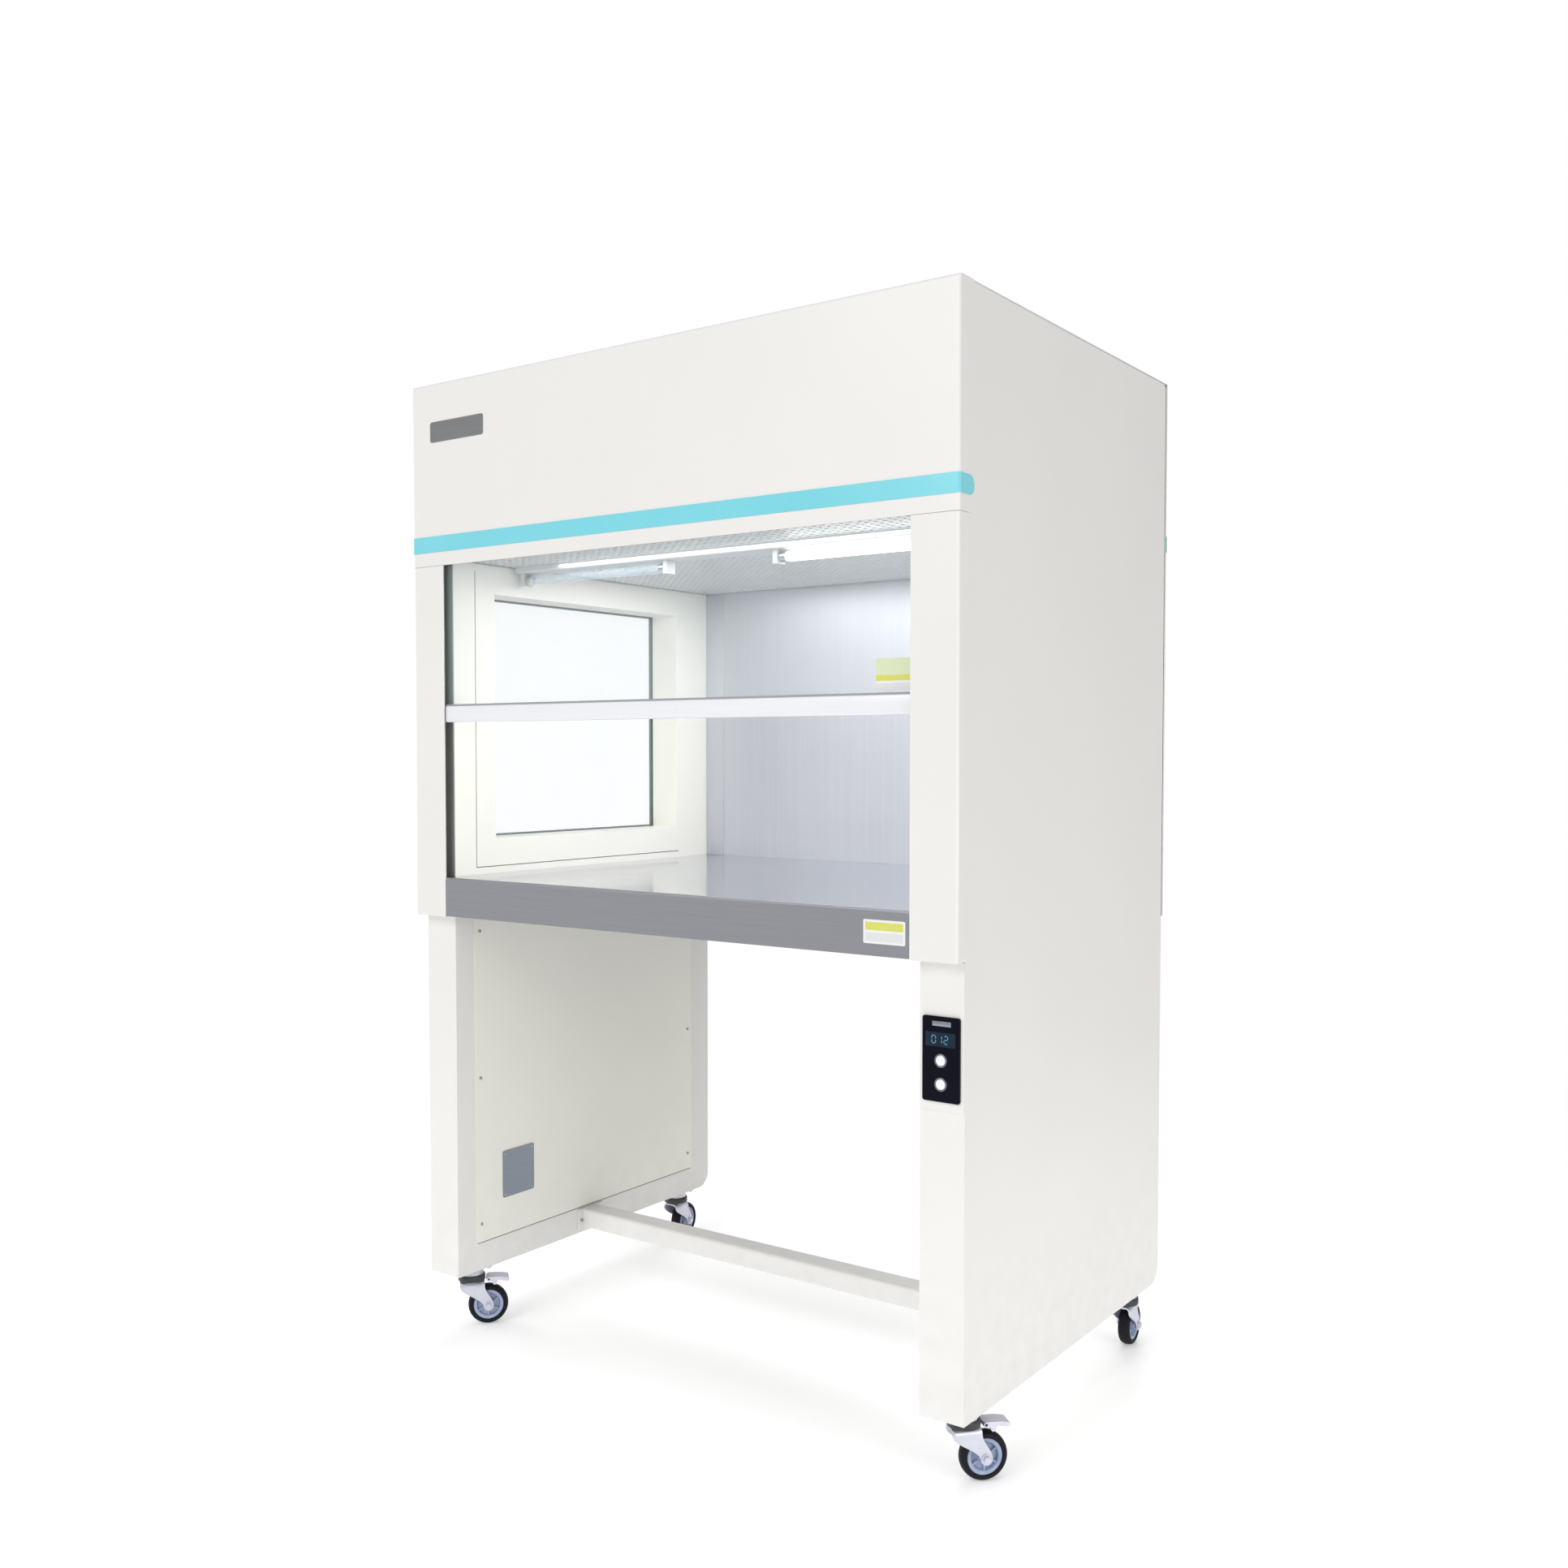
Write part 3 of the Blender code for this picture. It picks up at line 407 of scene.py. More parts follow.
liner_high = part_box("left_inner_wall")[1]
back_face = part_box("back_wall")[0].y
TRIM_WIDE, TRIM_THICK, SKIN = 0.0420, 0.0010, 0.0001
corner_trims = bmesh.new()
for side in (-1, 1):
    outer = side * (abs(liner_high.x) - 0.0003)
    inner = outer - side * TRIM_WIDE
    add_block(corner_trims, (min(outer, inner), back_face - TRIM_THICK, top_high.z + 0.0004),
              (max(outer, inner), back_face - 0.00002, ceiling - 0.0010), 0.0004)
place_piece("corner_trims", corner_trims, stainless_back, "cabinet")

JOINT_Y, JOINT_Z, JOINT_REAR, JOINT = -0.2776, 0.7680, 0.2400, 0.0016
joints_sealed = bmesh.new()
for far_y, far_z in ((JOINT_Y + JOINT, liner_high.z - 0.012), (JOINT_REAR, JOINT_Z + JOINT)):
    add_block(joints_sealed, (liner_high.x - 0.0007, JOINT_Y + SKIN, JOINT_Z + SKIN),
              (liner_high.x - SKIN, far_y - SKIN, far_z - SKIN), 0.0002, 1)
sealant_and_painted_shadow = rubber("joint_sealant", (118, 116, 108))
place_piece("liner_joints", joints_sealed, sealant_and_painted_shadow, "cabinet")

# A strip in the sealant's grey under each leg cover's lower edge: a painted shadow line where the cover
# meets the leg.
SHADOW_TALL, SHADOW_IN = 0.0016, 0.004
edge_shadow_strip = bmesh.new()
for node in ("left_leg_cover", "right_leg_cover"):
    low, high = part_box(node)
    add_block(edge_shadow_strip, (low.x + SKIN, low.y + SHADOW_IN, low.z - SHADOW_TALL),
              (high.x - SKIN, high.y - SHADOW_IN, low.z - SKIN), 0.0003, 1)
place_piece("cover_foam", edge_shadow_strip, sealant_and_painted_shadow, "cabinet")


# ---- Sash rail ---------------------------------------------------------------------------------
# A white anodised extrusion with fine die lines along it, which carries the pane. A soft glazing
# bead closes the groove in front of and behind the glass.
def soft_edged(node, finish, body, width):
    """A CAD node's copy with its sharp edges rounded, shown in the node's place."""
    bm = bmesh.new()
    bm.from_mesh(frame["nodes"][node].data)
    bmesh.ops.remove_doubles(bm, verts=bm.verts, dist=0.000005)
    bmesh.ops.dissolve_limit(bm, angle_limit=math.radians(0.5), verts=bm.verts, edges=bm.edges)
    piece = place_piece(f"{node}_finished", bm, finish, body)
    edge = piece.modifiers.new("edge", "BEVEL")
    edge.width, edge.segments, edge.angle_limit, edge.harden_normals = width, 2, math.radians(35), True
    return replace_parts(piece, node)


rail_low, rail_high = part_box("sash_rail")
pane_low, pane_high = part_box("sash_glass")
anodised = Finish("white_anodised", Metallic=0.1, Specular_IOR_Level=0.5)
die_line = anodised.noise(1100, 2, (0.01, 1, 1))
handled = anodised.noise(11, 5)
anodised.set(Base_Color=anodised.mix(die_line, srgb(231, 232, 236), srgb(244, 245, 249)),
             Roughness=0.3 + (handled - 0.5) * 0.18)
anodised.bump(die_line, 0.00005, 0.6)
soft_edged("sash_rail", anodised, "sash", 0.0009)

BEAD, BEAD_IN, BEAD_SHORT, BEAD_ROOT = 0.0024, 0.0006, 0.0010, 0.0008
beads = bmesh.new()
for front, back in ((rail_low.y + BEAD_IN, pane_low.y - SKIN), (pane_high.y + SKIN, rail_high.y - BEAD_IN)):
    add_block(beads, (rail_low.x + BEAD_SHORT, front, rail_high.z - BEAD_ROOT),
              (rail_high.x - BEAD_SHORT, back, rail_high.z + BEAD), 0.0007)
place_piece("glazing_beads", beads, rubber("grey_glazing_bead", (150, 153, 156)), "sash")


# ---- Sash tracks -------------------------------------------------------------------------------
# Dark extruded aluminium channels, fixed behind the post covers, that guide the sash's edges. The
# sash rubs them lightly, so they are scuffed along their length.
dark = Finish("dark_extrusion", Specular_IOR_Level=0.4)
scuff = dark.noise(420, 3, (1, 1, 0.03))
dark.set(Base_Color=dark.mix(scuff, srgb(126, 127, 124), srgb(152, 153, 148)),
         Roughness=0.5 + (scuff - 0.5) * 0.2)
dark.bump(scuff, 0.00006, 0.5)
dress(dark, "left_sash_track", "right_sash_track")


# ---- Trim strips -------------------------------------------------------------------------------
# Smooth cyan plastic strips stand a little proud of the header covers. One runs across the front and
# one across the rear, and each turns both corners on its side.
trim = Finish("cyan_trim", Specular_IOR_Level=0.5, Coat_Roughness=0.12)
fade = trim.noise(6, 4)
nib = trim.noise(800, 2)
trim.set(Base_Color=trim.mix(fade, srgb(112, 205, 218), srgb(134, 218, 230)), Coat_Weight=0.2 + fade * 0.2,
         Roughness=0.28 + (nib - 0.5) * 0.1)
trim.bump(nib, 0.00005, 0.4)
dress(trim, "front_stripe", "rear_stripe")


# ---- Perforated diffuser -----------------------------------------------------------------------
# The chamber's ceiling is a white sheet punched with round holes, through which the filtered air
# comes down. One punched square tile is set on a grid, merged and given the sheet's thickness.
class Kit(Graph):
    """A Geometry Nodes tree with named inputs, which ends in realised, painted geometry."""

    SOCKETS = {float: "NodeSocketFloat", int: "NodeSocketInt"}

    def __init__(self, name, **defaults):
        super().__init__(bpy.data.node_groups.new(name, "GeometryNodeTree"))
        face = self.tree.interface
        face.new_socket("Geometry", in_out="OUTPUT", socket_type="NodeSocketGeometry")
        face.new_socket("Geometry", in_out="INPUT", socket_type="NodeSocketGeometry")
        for label, value in defaults.items():
            kind = self.SOCKETS[type(value)]
            face.new_socket(label.replace("_", " "), in_out="INPUT", socket_type=kind).default_value = value
        face.new_socket("Material", in_out="INPUT", socket_type="NodeSocketMaterial")
        self.given = self.add("NodeGroupInput")

    def wants(self, label):
        """A named input."""
        return self.given.out(label)

    def end(self, geometry):
        """Realises the instances, sets the material and closes the tree."""
        solid = self.add("GeometryNodeRealizeInstances", sockets={0: geometry})
        painted = self.add("GeometryNodeSetMaterial",
                           sockets={"Geometry": solid, "Material": self.wants("Material")})
        self.add("NodeGroupOutput", sockets={0: painted})

    def make(self, name, host, finish, body, slot, smooth=35, **values):
        """Runs the tree on a host mesh and keeps the result as a plain mesh."""
        piece = bpy.data.objects.new(name, host)
        scene.collection.objects.link(piece)
        run = piece.modifiers.new("kit", "NODES")
        run.node_group = self.tree
        values["Material"] = finish.material
        for item in self.tree.interface.items_tree:
            label = item.name.replace(" ", "_")
            if item.in_out == "INPUT" and label in values:
                run[item.identifier] = values[label]
        finished = piece.evaluated_get(bpy.context.evaluated_depsgraph_get())
        made = bpy.data.meshes.new_from_object(finished)
        piece.modifiers.clear()
        piece.data = made
        made.name = name
        made.shade_smooth()
        made.set_sharp_from_angle(angle=math.radians(smooth))
        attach(piece, body)
        return piece


punched = Kit("punched_sheet", Pitch=0.015, Hole_Radius=0.0035, Sheet=0.0012, Rows_X=57, Rows_Y=43)
tile = punched.add("GeometryNodeCurvePrimitiveQuadrilateral",
                   sockets={"Width": punched.wants("Pitch"), "Height": punched.wants("Pitch")})
hole = punched.add("GeometryNodeCurvePrimitiveCircle",
                   sockets={"Resolution": 8, "Radius": punched.wants("Hole Radius")})
both = punched.add("GeometryNodeJoinGeometry", sockets={0: [tile, hole]})
tile_face = punched.add("GeometryNodeFillCurve", sockets={0: both})
steps_x, steps_y = punched.wants("Rows X"), punched.wants("Rows Y")
spots = punched.add("GeometryNodeMeshGrid",
                    sockets={"Size X": (steps_x - 1.0) * punched.wants("Pitch"),
                             "Size Y": (steps_y - 1.0) * punched.wants("Pitch"),
                             "Vertices X": steps_x, "Vertices Y": steps_y})
tiles = punched.add("GeometryNodeInstanceOnPoints", sockets={"Points": spots, "Instance": tile_face})
laid = punched.add("GeometryNodeRealizeInstances", sockets={0: tiles})
flat = punched.add("GeometryNodeMergeByDistance", sockets={"Geometry": laid, "Distance": 0.0001})
raised = punched.add("GeometryNodeExtrudeMesh",
                     sockets={"Mesh": flat, "Offset Scale": punched.wants("Sheet"), "Individual": False})
under = punched.add("GeometryNodeFlipFaces", sockets={0: flat})
shell = punched.add("GeometryNodeJoinGeometry", sockets={0: [raised, under]})
closed = punched.add("GeometryNodeMergeByDistance", sockets={"Geometry": shell, "Distance": 0.0001})
low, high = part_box("diffuser_plate")
where = punched.add("ShaderNodeCombineXYZ",
                    sockets={0: (low.x + high.x) / 2, 1: (low.y + high.y) / 2, 2: low.z})
punched.end(punched.add("GeometryNodeTransform", sockets={"Geometry": closed, "Translation": where}))

ceiling_white = Finish("white_enamel", Specular_IOR_Level=0.45)
mottle = ceiling_white.noise(14, 4)
ceiling_white.set(Base_Color=ceiling_white.mix(mottle, srgb(196, 199, 200), srgb(208, 210, 210)),
                  Roughness=0.42 + (mottle - 0.5) * 0.15)
ceiling_white.bump(ceiling_white.noise(500, 2), 0.00004, 0.5)
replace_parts(punched.make("diffuser_sheet", bpy.data.meshes.new("nothing"), ceiling_white, "cabinet",
                         "white_plastic"), "diffuser_plate")


# ---- Filters -----------------------------------------------------------------------------------
# The main filter is a block of pleated glass-fibre paper above the diffuser. The prefilter is a pale
# blue felted pad that lies under the grille in the roof.
paper = Finish("pleated_paper", Roughness=0.95)
pleat_and_crease_shade = paper.add("ShaderNodeTexWave", {"wave_type": "BANDS", "bands_direction": "Y"},
                  {"Vector": paper.where, "Scale": 95.0, "Distortion": 0.4})
fibre = paper.noise(900, 4)
# The colour darkens in bands with the pleats: a painted shade in their creases.
paper.set(Base_Color=paper.mix(pleat_and_crease_shade, srgb(206, 206, 200), srgb(240, 240, 236)))
paper.bump(pleat_and_crease_shade + fibre * 0.2, 0.002, 0.8)
dress(paper, "hepa_filter")

felt = Finish("felted_pad", Roughness=0.97, Sheen_Weight=0.3)
tuft = felt.noise(420, 6)
strand = felt.noise(1300, 4, (1, 0.3, 1))
felt.set(Base_Color=felt.mix(tuft, srgb(150, 172, 190), srgb(206, 220, 230)))
felt.bump(tuft + strand * 0.5, 0.0016, 0.9)
dress(felt, "prefilter")


# ---- Blower ------------------------------------------------------------------------------------
# A backward-curved impeller, moulded in dark plastic, turns on an external-rotor motor with a dark
# cap. The motor stands on the zinc plated bracket that crosses the bottom of the plenum.
moulded = Finish("moulded_plastic", Specular_IOR_Level=0.45)
flow = moulded.noise(30, 4)
moulded.set(Base_Color=moulded.mix(flow, srgb(40, 42, 46), srgb(56, 58, 62)),
            Roughness=0.45 + (flow - 0.5) * 0.2)
moulded.bump(moulded.noise(1100, 2), 0.00008, 0.5)
dress(moulded, "blower_impeller", "blower_motor")


# ---- Lamps -------------------------------------------------------------------------------------
# Under the front of the ceiling a white tray holds two tubes end to end: a lit opal lamp on the
# right and a clear germicidal tube on the left, each with a metal cap at both ends.
dress(ceiling_white, "lamp_tray")


def add_turned(bm, profile, matrix, steps=40):
    """A shape turned about Z from (radius, height) points, added to a bmesh."""
    rings = []
    for step in range(steps):
        angle = math.tau * step / steps
        rings.append([bm.verts.new(matrix @ Vector((r * math.cos(angle), r * math.sin(angle), z)))
                      for r, z in profile])
    for step in range(steps):
        ring, following = rings[step], rings[(step + 1) % steps]
        for i in range(len(profile)):
            j = (i + 1) % len(profile)
            if profile[i][0] or profile[j][0]:
                bm.faces.new((ring[i], following[i], following[j], ring[j]))


def rounded(radius, start, end, bend, count=5):
    """Half an outline of a round-ended rod, from its start pole to its end pole."""
    turn = [math.pi / 2 * i / count for i in range(count + 1)]
    near = [(radius - bend + bend * math.sin(a), start + bend - bend * math.cos(a)) for a in turn]
    far = [(radius - bend + bend * math.cos(a), end - bend + bend * math.sin(a)) for a in turn]
    return [(0.0, start)] + near + far + [(0.0, end)]


opal = Finish("lit_opal_glass", Roughness=0.25, Emission_Strength=3.2)
glow = opal.noise(12, 2)
opal.set(Base_Color=opal.mix(glow, srgb(250, 250, 246), srgb(255, 255, 252)),
         Emission_Color=opal.mix(glow, srgb(250, 251, 255), srgb(255, 252, 244)))
quartz = Finish("quartz_tube", Roughness=0.04)
mist = quartz.noise(30, 3)
quartz.set(Base_Color=quartz.mix(mist, srgb(205, 226, 240), srgb(235, 244, 250)),
           Alpha=0.24 + mist * 0.16)
cap_metal = brushed("spun_aluminium", (214, 215, 218), ALONG_X, 0.28, 0.00003)
CAP = 0.012
for node, tube_finish, tube_slot in (("lamp_tube", opal, "lamp_glass"), ("uv_tube", quartz, "uv_glass")):
    low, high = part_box(node)
    middle = Matrix.Translation((0, (low.y + high.y) / 2, (low.z + high.z) / 2))
    axis = middle @ Matrix.Rotation(math.pi / 2, 4, "Y")
    radius = (high.z - low.z) / 2
    tube, caps = bmesh.new(), bmesh.new()
    add_turned(tube, rounded(radius - 0.0004, low.x + CAP, high.x - CAP, 0.003), axis)
    for start in (low.x, high.x - CAP):
        add_turned(caps, rounded(radius, start, start + CAP, 0.0012, 3), axis)
    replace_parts(place_piece(f"{node}_glass", tube, tube_finish, "cabinet"), node)
    place_piece(f"{node}_caps", caps, cap_metal, "cabinet")


# ---- Control panel -----------------------------------------------------------------------------
# A glossy black overlay on the right leg with a small liquid crystal window, a blank title bar and
# two round white keys in satin rings. The board behind carries their switches.
gloss = Finish("black_overlay", Specular_IOR_Level=0.12)
finger = gloss.noise(38, 5)
gloss.set(Base_Color=gloss.mix(finger, srgb(5, 6, 18), srgb(10, 12, 26)),
          Roughness=0.24 + (finger - 0.5) * 0.2)
gloss.bump(gloss.noise(900, 2), 0.00003, 0.4)
soft_edged("control_panel", gloss, "cabinet", 0.0007)

crystal = Finish("liquid_crystal", Specular_IOR_Level=0.25)
cell = crystal.noise(90, 3)
crystal.set(Base_Color=crystal.mix(cell, srgb(18, 34, 50), srgb(28, 46, 64)), Roughness=0.12 + cell * 0.1)
dress(crystal, "display_window")

green = Finish("board_varnish", Specular_IOR_Level=0.5)
copper = green.add("ShaderNodeTexBrick",
                   sockets={"Vector": green.where, "Scale": 260.0, "Color1": srgb(16, 92, 46),
                            "Color2": srgb(24, 110, 58), "Mortar": srgb(44, 138, 78)})
green.set(Base_Color=copper, Roughness=0.3 + green.noise(60, 3) * 0.2)
dress(green, "control_board")

face_low, face_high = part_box("control_panel")
screen_low, screen_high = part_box("display_window")
segments = Finish("display_segments", Emission_Strength=0.5)
flicker = segments.noise(300, 2)
segments.set(Base_Color=segments.mix(flicker, srgb(96, 140, 158), srgb(120, 164, 180)),
             Emission_Color=segments.mix(flicker, srgb(80, 130, 150), srgb(100, 150, 170)), Roughness=0.4)
DIGIT_HEIGHT, DIGIT_WIDTH, DIGIT_PITCH, STROKE, READING_LEFT = 0.0098, 0.0054, 0.0088, 0.0008, 0.0095
BARS = {"a": (0, 2, True), "b": (1, 1, False), "c": (1, 0, False), "d": (0, 0, True),
        "e": (0, 0, False), "f": (0, 1, False), "g": (0, 1, True)}
LIT = ("abcdef", "bc", "abged")
reading = bmesh.new()
for place, lit in enumerate(LIT):
    left = screen_low.x + READING_LEFT + place * DIGIT_PITCH
    bottom = (screen_low.z + screen_high.z - DIGIT_HEIGHT) / 2
    for bar in lit:
        across, up, lying = BARS[bar]
        x, z = left + across * DIGIT_WIDTH, bottom + up * DIGIT_HEIGHT / 2
        half_wide, half_tall = STROKE / 2, STROKE / 2
        if lying:
            x += DIGIT_WIDTH / 2
            half_wide = DIGIT_WIDTH / 2 - STROKE
        else:
            z += DIGIT_HEIGHT / 4
            half_tall = DIGIT_HEIGHT / 4 - STROKE
        add_block(reading, (x - half_wide, screen_low.y - SKIN, z - half_tall),
                  (x + half_wide, screen_low.y + SKIN, z + half_tall))
place_piece("display_reading", reading, segments, "cabinet")

bar_metal = brushed("satin_bar", (176, 184, 194), ALONG_X, 0.35, 0.00002)
BAR_FROM_LEFT, BAR_FROM_RIGHT, BAR_TOP, BAR_BOTTOM = 0.0145, 0.0125, 0.0062, 0.0122
title = bmesh.new()
add_block(title, (face_low.x + BAR_FROM_LEFT, face_low.y - 0.0003, face_high.z - BAR_BOTTOM),
          (face_high.x - BAR_FROM_RIGHT, face_low.y + 0.0002, face_high.z - BAR_TOP), 0.0002)
place_piece("title_bar", title, bar_metal, "cabinet")

keycap = Finish("white_keycap", Specular_IOR_Level=0.5)
worn = keycap.noise(160, 4)
keycap.set(Base_Color=keycap.mix(worn, srgb(226, 228, 230), srgb(244, 245, 246)),
           Roughness=0.36 + (worn - 0.5) * 0.2)
keycap.bump(keycap.noise(1400, 2), 0.00005, 0.5)
KEY_GAP = 0.0006
RING = ((0.0, -0.0004), (0.0, 0.0007), (0.0004, 0.0011), (0.0011, 0.0009), (0.0015, 0.0001),
        (0.0015, -0.0001))
rings = bmesh.new()
for node, body in (("fan_button", "fan_key"), ("lamp_button", "lamp_key")):
    soft_edged(node, keycap, body, 0.0004)
    low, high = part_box(node)
    middle = Matrix.Translation(((low.x + high.x) / 2, face_low.y, (low.z + high.z) / 2))
    facing = middle @ Matrix.Rotation(math.pi / 2, 4, "X")
    inner = (high.x - low.x) / 2 + KEY_GAP
    add_turned(rings, [(inner + out, rise) for out, rise in RING], facing, 48)
place_piece("key_rings", rings, plated("satin_ring", (150, 154, 164), 0.34), "cabinet")


# ---- Blank labels and plates -------------------------------------------------------------------
# Banded film labels without any lettering sit on the lip and on the pane, a plain satin nameplate
# on the header, and a grey rating plate with four rivets inside the left leg.
def banded(name, low, high, margin, band_from, band_to):
    """Printed film: white with a yellow band, a pale field above it and a grey one below."""
    finish = Finish(name, Specular_IOR_Level=0.5, Coat_Weight=0.2)
    x, _, z = finish.axes()
    tall = high[2] - low[2]
    inside = (x > low[0] + margin) * (x < high[0] - margin)
    bottom, top = low[2] + tall * band_from, low[2] + tall * band_to
    band = inside * (z > bottom) * (z < top)
    above = inside * (z > top) * (z < high[2] - margin)
    below = inside * (z > low[2] + margin) * (z < bottom - 0.003)
    ink = finish.noise(240, 3)
    shade = finish.mix(below * 0.4, srgb(232, 233, 232), srgb(196, 198, 203))
    shade = finish.mix(above, shade, srgb(214, 224, 186))
    yellow = finish.mix(ink, srgb(204, 208, 84), srgb(218, 220, 116))
    finish.set(Base_Color=finish.mix(band, shade, yellow), Roughness=0.35 + ink * 0.12)
    return finish


def label(name, low, high, finish, body, slot, corner=0.002):
    """A thin film with rounded corners, its face towards the user."""
    film = bmesh.new()
    size = Matrix.Diagonal((high[0] - low[0], high[1] - low[1], high[2] - low[2], 1.0))
    middle = Matrix.Translation((Vector(low) + Vector(high)) / 2)
    bmesh.ops.create_cube(film, size=1.0, matrix=middle @ size)
    corners = [e for e in film.edges if abs(e.verts[0].co.y - e.verts[1].co.y) > 1e-6]
    bmesh.ops.bevel(film, geom=corners, offset=corner, segments=5, profile=0.5, affect="EDGES")
    return place_piece(name, film, finish, body)


FILM, TUCK = 0.0002, 0.00002
for name, left, right, surface, bottom, tall, body, print_places in (
        ("lip_label", 0.361, 0.424, top_low.y, top_low.z + 0.016, 0.031, "cabinet", (0.003, 0.56, 0.90)),
        ("pane_label", 0.374, 0.426, pane_low.y, rail_high.z + 0.005, 0.041, "sash", (0.0, 0.30, 0.48))):
    corners = (left, surface - FILM, bottom), (right, surface - TUCK, bottom + tall)
    label(name, *corners, banded(f"{name}_film", *corners, *print_places), body, "white_plastic")

cover_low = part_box("front_header_cover")[0]
PLATE_LEFT, PLATE_RIGHT, PLATE_BOTTOM, PLATE_TOP = 0.043, 0.163, 1.449, 1.481
nameplate = brushed("satin_nameplate", (168, 170, 172), ALONG_X, 0.34, 0.00003)
label("blank_nameplate", (cover_low.x + PLATE_LEFT, cover_low.y - 0.0008, PLATE_BOTTOM),
      (cover_low.x + PLATE_RIGHT, cover_low.y - 0.00005, PLATE_TOP),
      nameplate, "cabinet", "plate_grey", 0.004)
dress(brushed("grey_plate", (150, 157, 169), ALONG_Y, 0.42, 0.00003), "rating_plate")


# ---- Casters -----------------------------------------------------------------------------------
# 66 mm swivel casters: a black tyre moulded on a blue-grey ribbed hub, a fork pressed from plated
# sheet, a black dust cap over the ball race, a nutted axle and, on the front pair, a brake pedal.
joints = {joint["name"]: joint for joint in frame["record"]["behaviour"]["joints"]}
tyre_rubber = rubber("tyre_rubber", (9, 10, 18), 0.6)
hub_plastic = Finish("hub_plastic", Specular_IOR_Level=0.5)
swirl = hub_plastic.noise(90, 4)
hub_plastic.set(Base_Color=hub_plastic.mix(swirl, srgb(138, 150, 180), srgb(166, 178, 204)),
                Roughness=0.34 + (swirl - 0.5) * 0.2)
hub_plastic.bump(hub_plastic.noise(900, 2), 0.00008, 0.5)
fork_zinc = plated("fork_plate", (226, 228, 240), 0.42)
fork_zinc.set(Metallic=0.75)

TYRE_IN, TYRE_HALF = 0.0248, 0.0100
HUB_OUT, RIB_OUT, BOSS, BORE = 0.0250, 0.0190, 0.0088, 0.0043
RIBS, RIB_HALF_THICK, RIB_HALF_WIDE = 6, 0.0011, 0.0066


def tyre_outline(radius):
    """Cross-section of the tyre: a full crown with round shoulders over a flat seat."""
    seat = TYRE_IN + 0.0012
    crown = []
    for degrees in range(-84, 85, 12):
        angle = math.radians(degrees)
        crown.append((seat + (radius - seat) * abs(math.cos(angle)) ** 0.7, TYRE_HALF * math.sin(angle)))
    return [(TYRE_IN, crown[0][1] + 0.0008)] + crown + [(TYRE_IN, crown[-1][1] - 0.0008)]


def hub_outline():
    """Cross-section of the hub: rim, web and centre boss."""
    side = [(BORE, 0.0115), (BOSS - 0.0006, 0.0115), (BOSS, 0.0109), (BOSS + 0.0008, 0.0030),
            (RIB_OUT - 0.0010, 0.0026), (RIB_OUT, 0.0072), (RIB_OUT + 0.0008, 0.0080),
            (HUB_OUT - 0.0010, 0.0080), (HUB_OUT - 0.0002, 0.0072)]
    return side + [(radius, -along) for radius, along in reversed(side)]


def pressed_fork(matrix, trail, axle):
    """An arch of sheet over the wheel whose two legs sweep back and taper to the axle."""
    leg, crown, shoulder, eye, spread, lean = 0.0155, 0.0745, 0.0080, 0.0085, 0.0118, 0.0006
    tip, bend = axle - eye, crown - shoulder
    arch = [(-leg, tip + i * (bend - tip) / 9) for i in range(9)]
    for degrees in range(0, 91, 15):
        angle = math.radians(degrees)
        arch.append((-leg + shoulder - shoulder * math.cos(angle), bend + shoulder * math.sin(angle)))
    arch += [(-x, z) for x, z in reversed(arch)]
    bm = bmesh.new()
    columns = []
    for x, z in arch:
        rise = min(max((z - axle) / (bend - axle), 0.0), 1.0)
        ease = rise * rise * (3 - 2 * rise)
        below = min(max((axle - z) / eye, 0.0), 1.0)
        middle = trail * (1 - ease) + lean * ease
        half = (eye + spread * ease) * math.sqrt(1 - 0.86 * below ** 2)
        columns.append([bm.verts.new(matrix @ Vector((x, middle + half * (step / 4 - 1), z)))
                        for step in range(9)])
    for near, far in zip(columns, columns[1:]):
        for i in range(8):
            bm.faces.new((near[i], near[i + 1], far[i + 1], far[i]))
    return bm


bolt = Kit("hex_bolt", Across=0.008, Head=0.0032, Washer=0.0011)
width, head, washer = bolt.wants("Across"), bolt.wants("Head"), bolt.wants("Washer")
corner_out = width * 0.577
hexagon = bolt.add("GeometryNodeMeshCylinder",
                   sockets={"Vertices": 6, "Radius": corner_out, "Depth": head * 0.8})
crown = bolt.add("GeometryNodeMeshCone",
                 sockets={"Vertices": 6, "Radius Top": width * 0.47, "Radius Bottom": corner_out,
                          "Depth": head * 0.2})
disc = bolt.add("GeometryNodeMeshCylinder",
                sockets={"Vertices": 20, "Radius": width * 0.86, "Depth": washer})


def lifted(kit, mesh, height):
    """The mesh moved up its own axis."""
    rise = kit.add("ShaderNodeCombineXYZ", sockets={2: height})
    return kit.add("GeometryNodeTransform", sockets={"Geometry": mesh, "Translation": rise})


def on_facings(kit, *meshes):
    """Ends a kit with its meshes joined and set on every point, turned the way the point faces."""
    whole = kit.add("GeometryNodeJoinGeometry", sockets={0: list(meshes)})
    facing = kit.add("GeometryNodeInputNamedAttribute", {"data_type": "FLOAT_VECTOR"}, {"Name": "facing"})
    turn = kit.add("FunctionNodeAlignRotationToVector", {"axis": "Z"}, {"Vector": facing})
    kit.end(kit.add("GeometryNodeInstanceOnPoints",
                    sockets={"Points": kit.wants("Geometry"), "Instance": whole, "Rotation": turn}))


on_facings(bolt, lifted(bolt, disc, washer * 0.5), lifted(bolt, hexagon, washer + head * 0.4),
           lifted(bolt, crown, washer + head * 0.8))


def facings(spots):
    """A mesh of loose points, each with the direction its fastener faces."""
    mesh = bpy.data.meshes.new("spots")
    mesh.from_pydata([tuple(spot) for spot, _ in spots], [], [])
    mesh.attributes.new("facing", "FLOAT_VECTOR", "POINT").data.foreach_set(
        "vector", [part for _, facing in spots for part in facing])
    return mesh


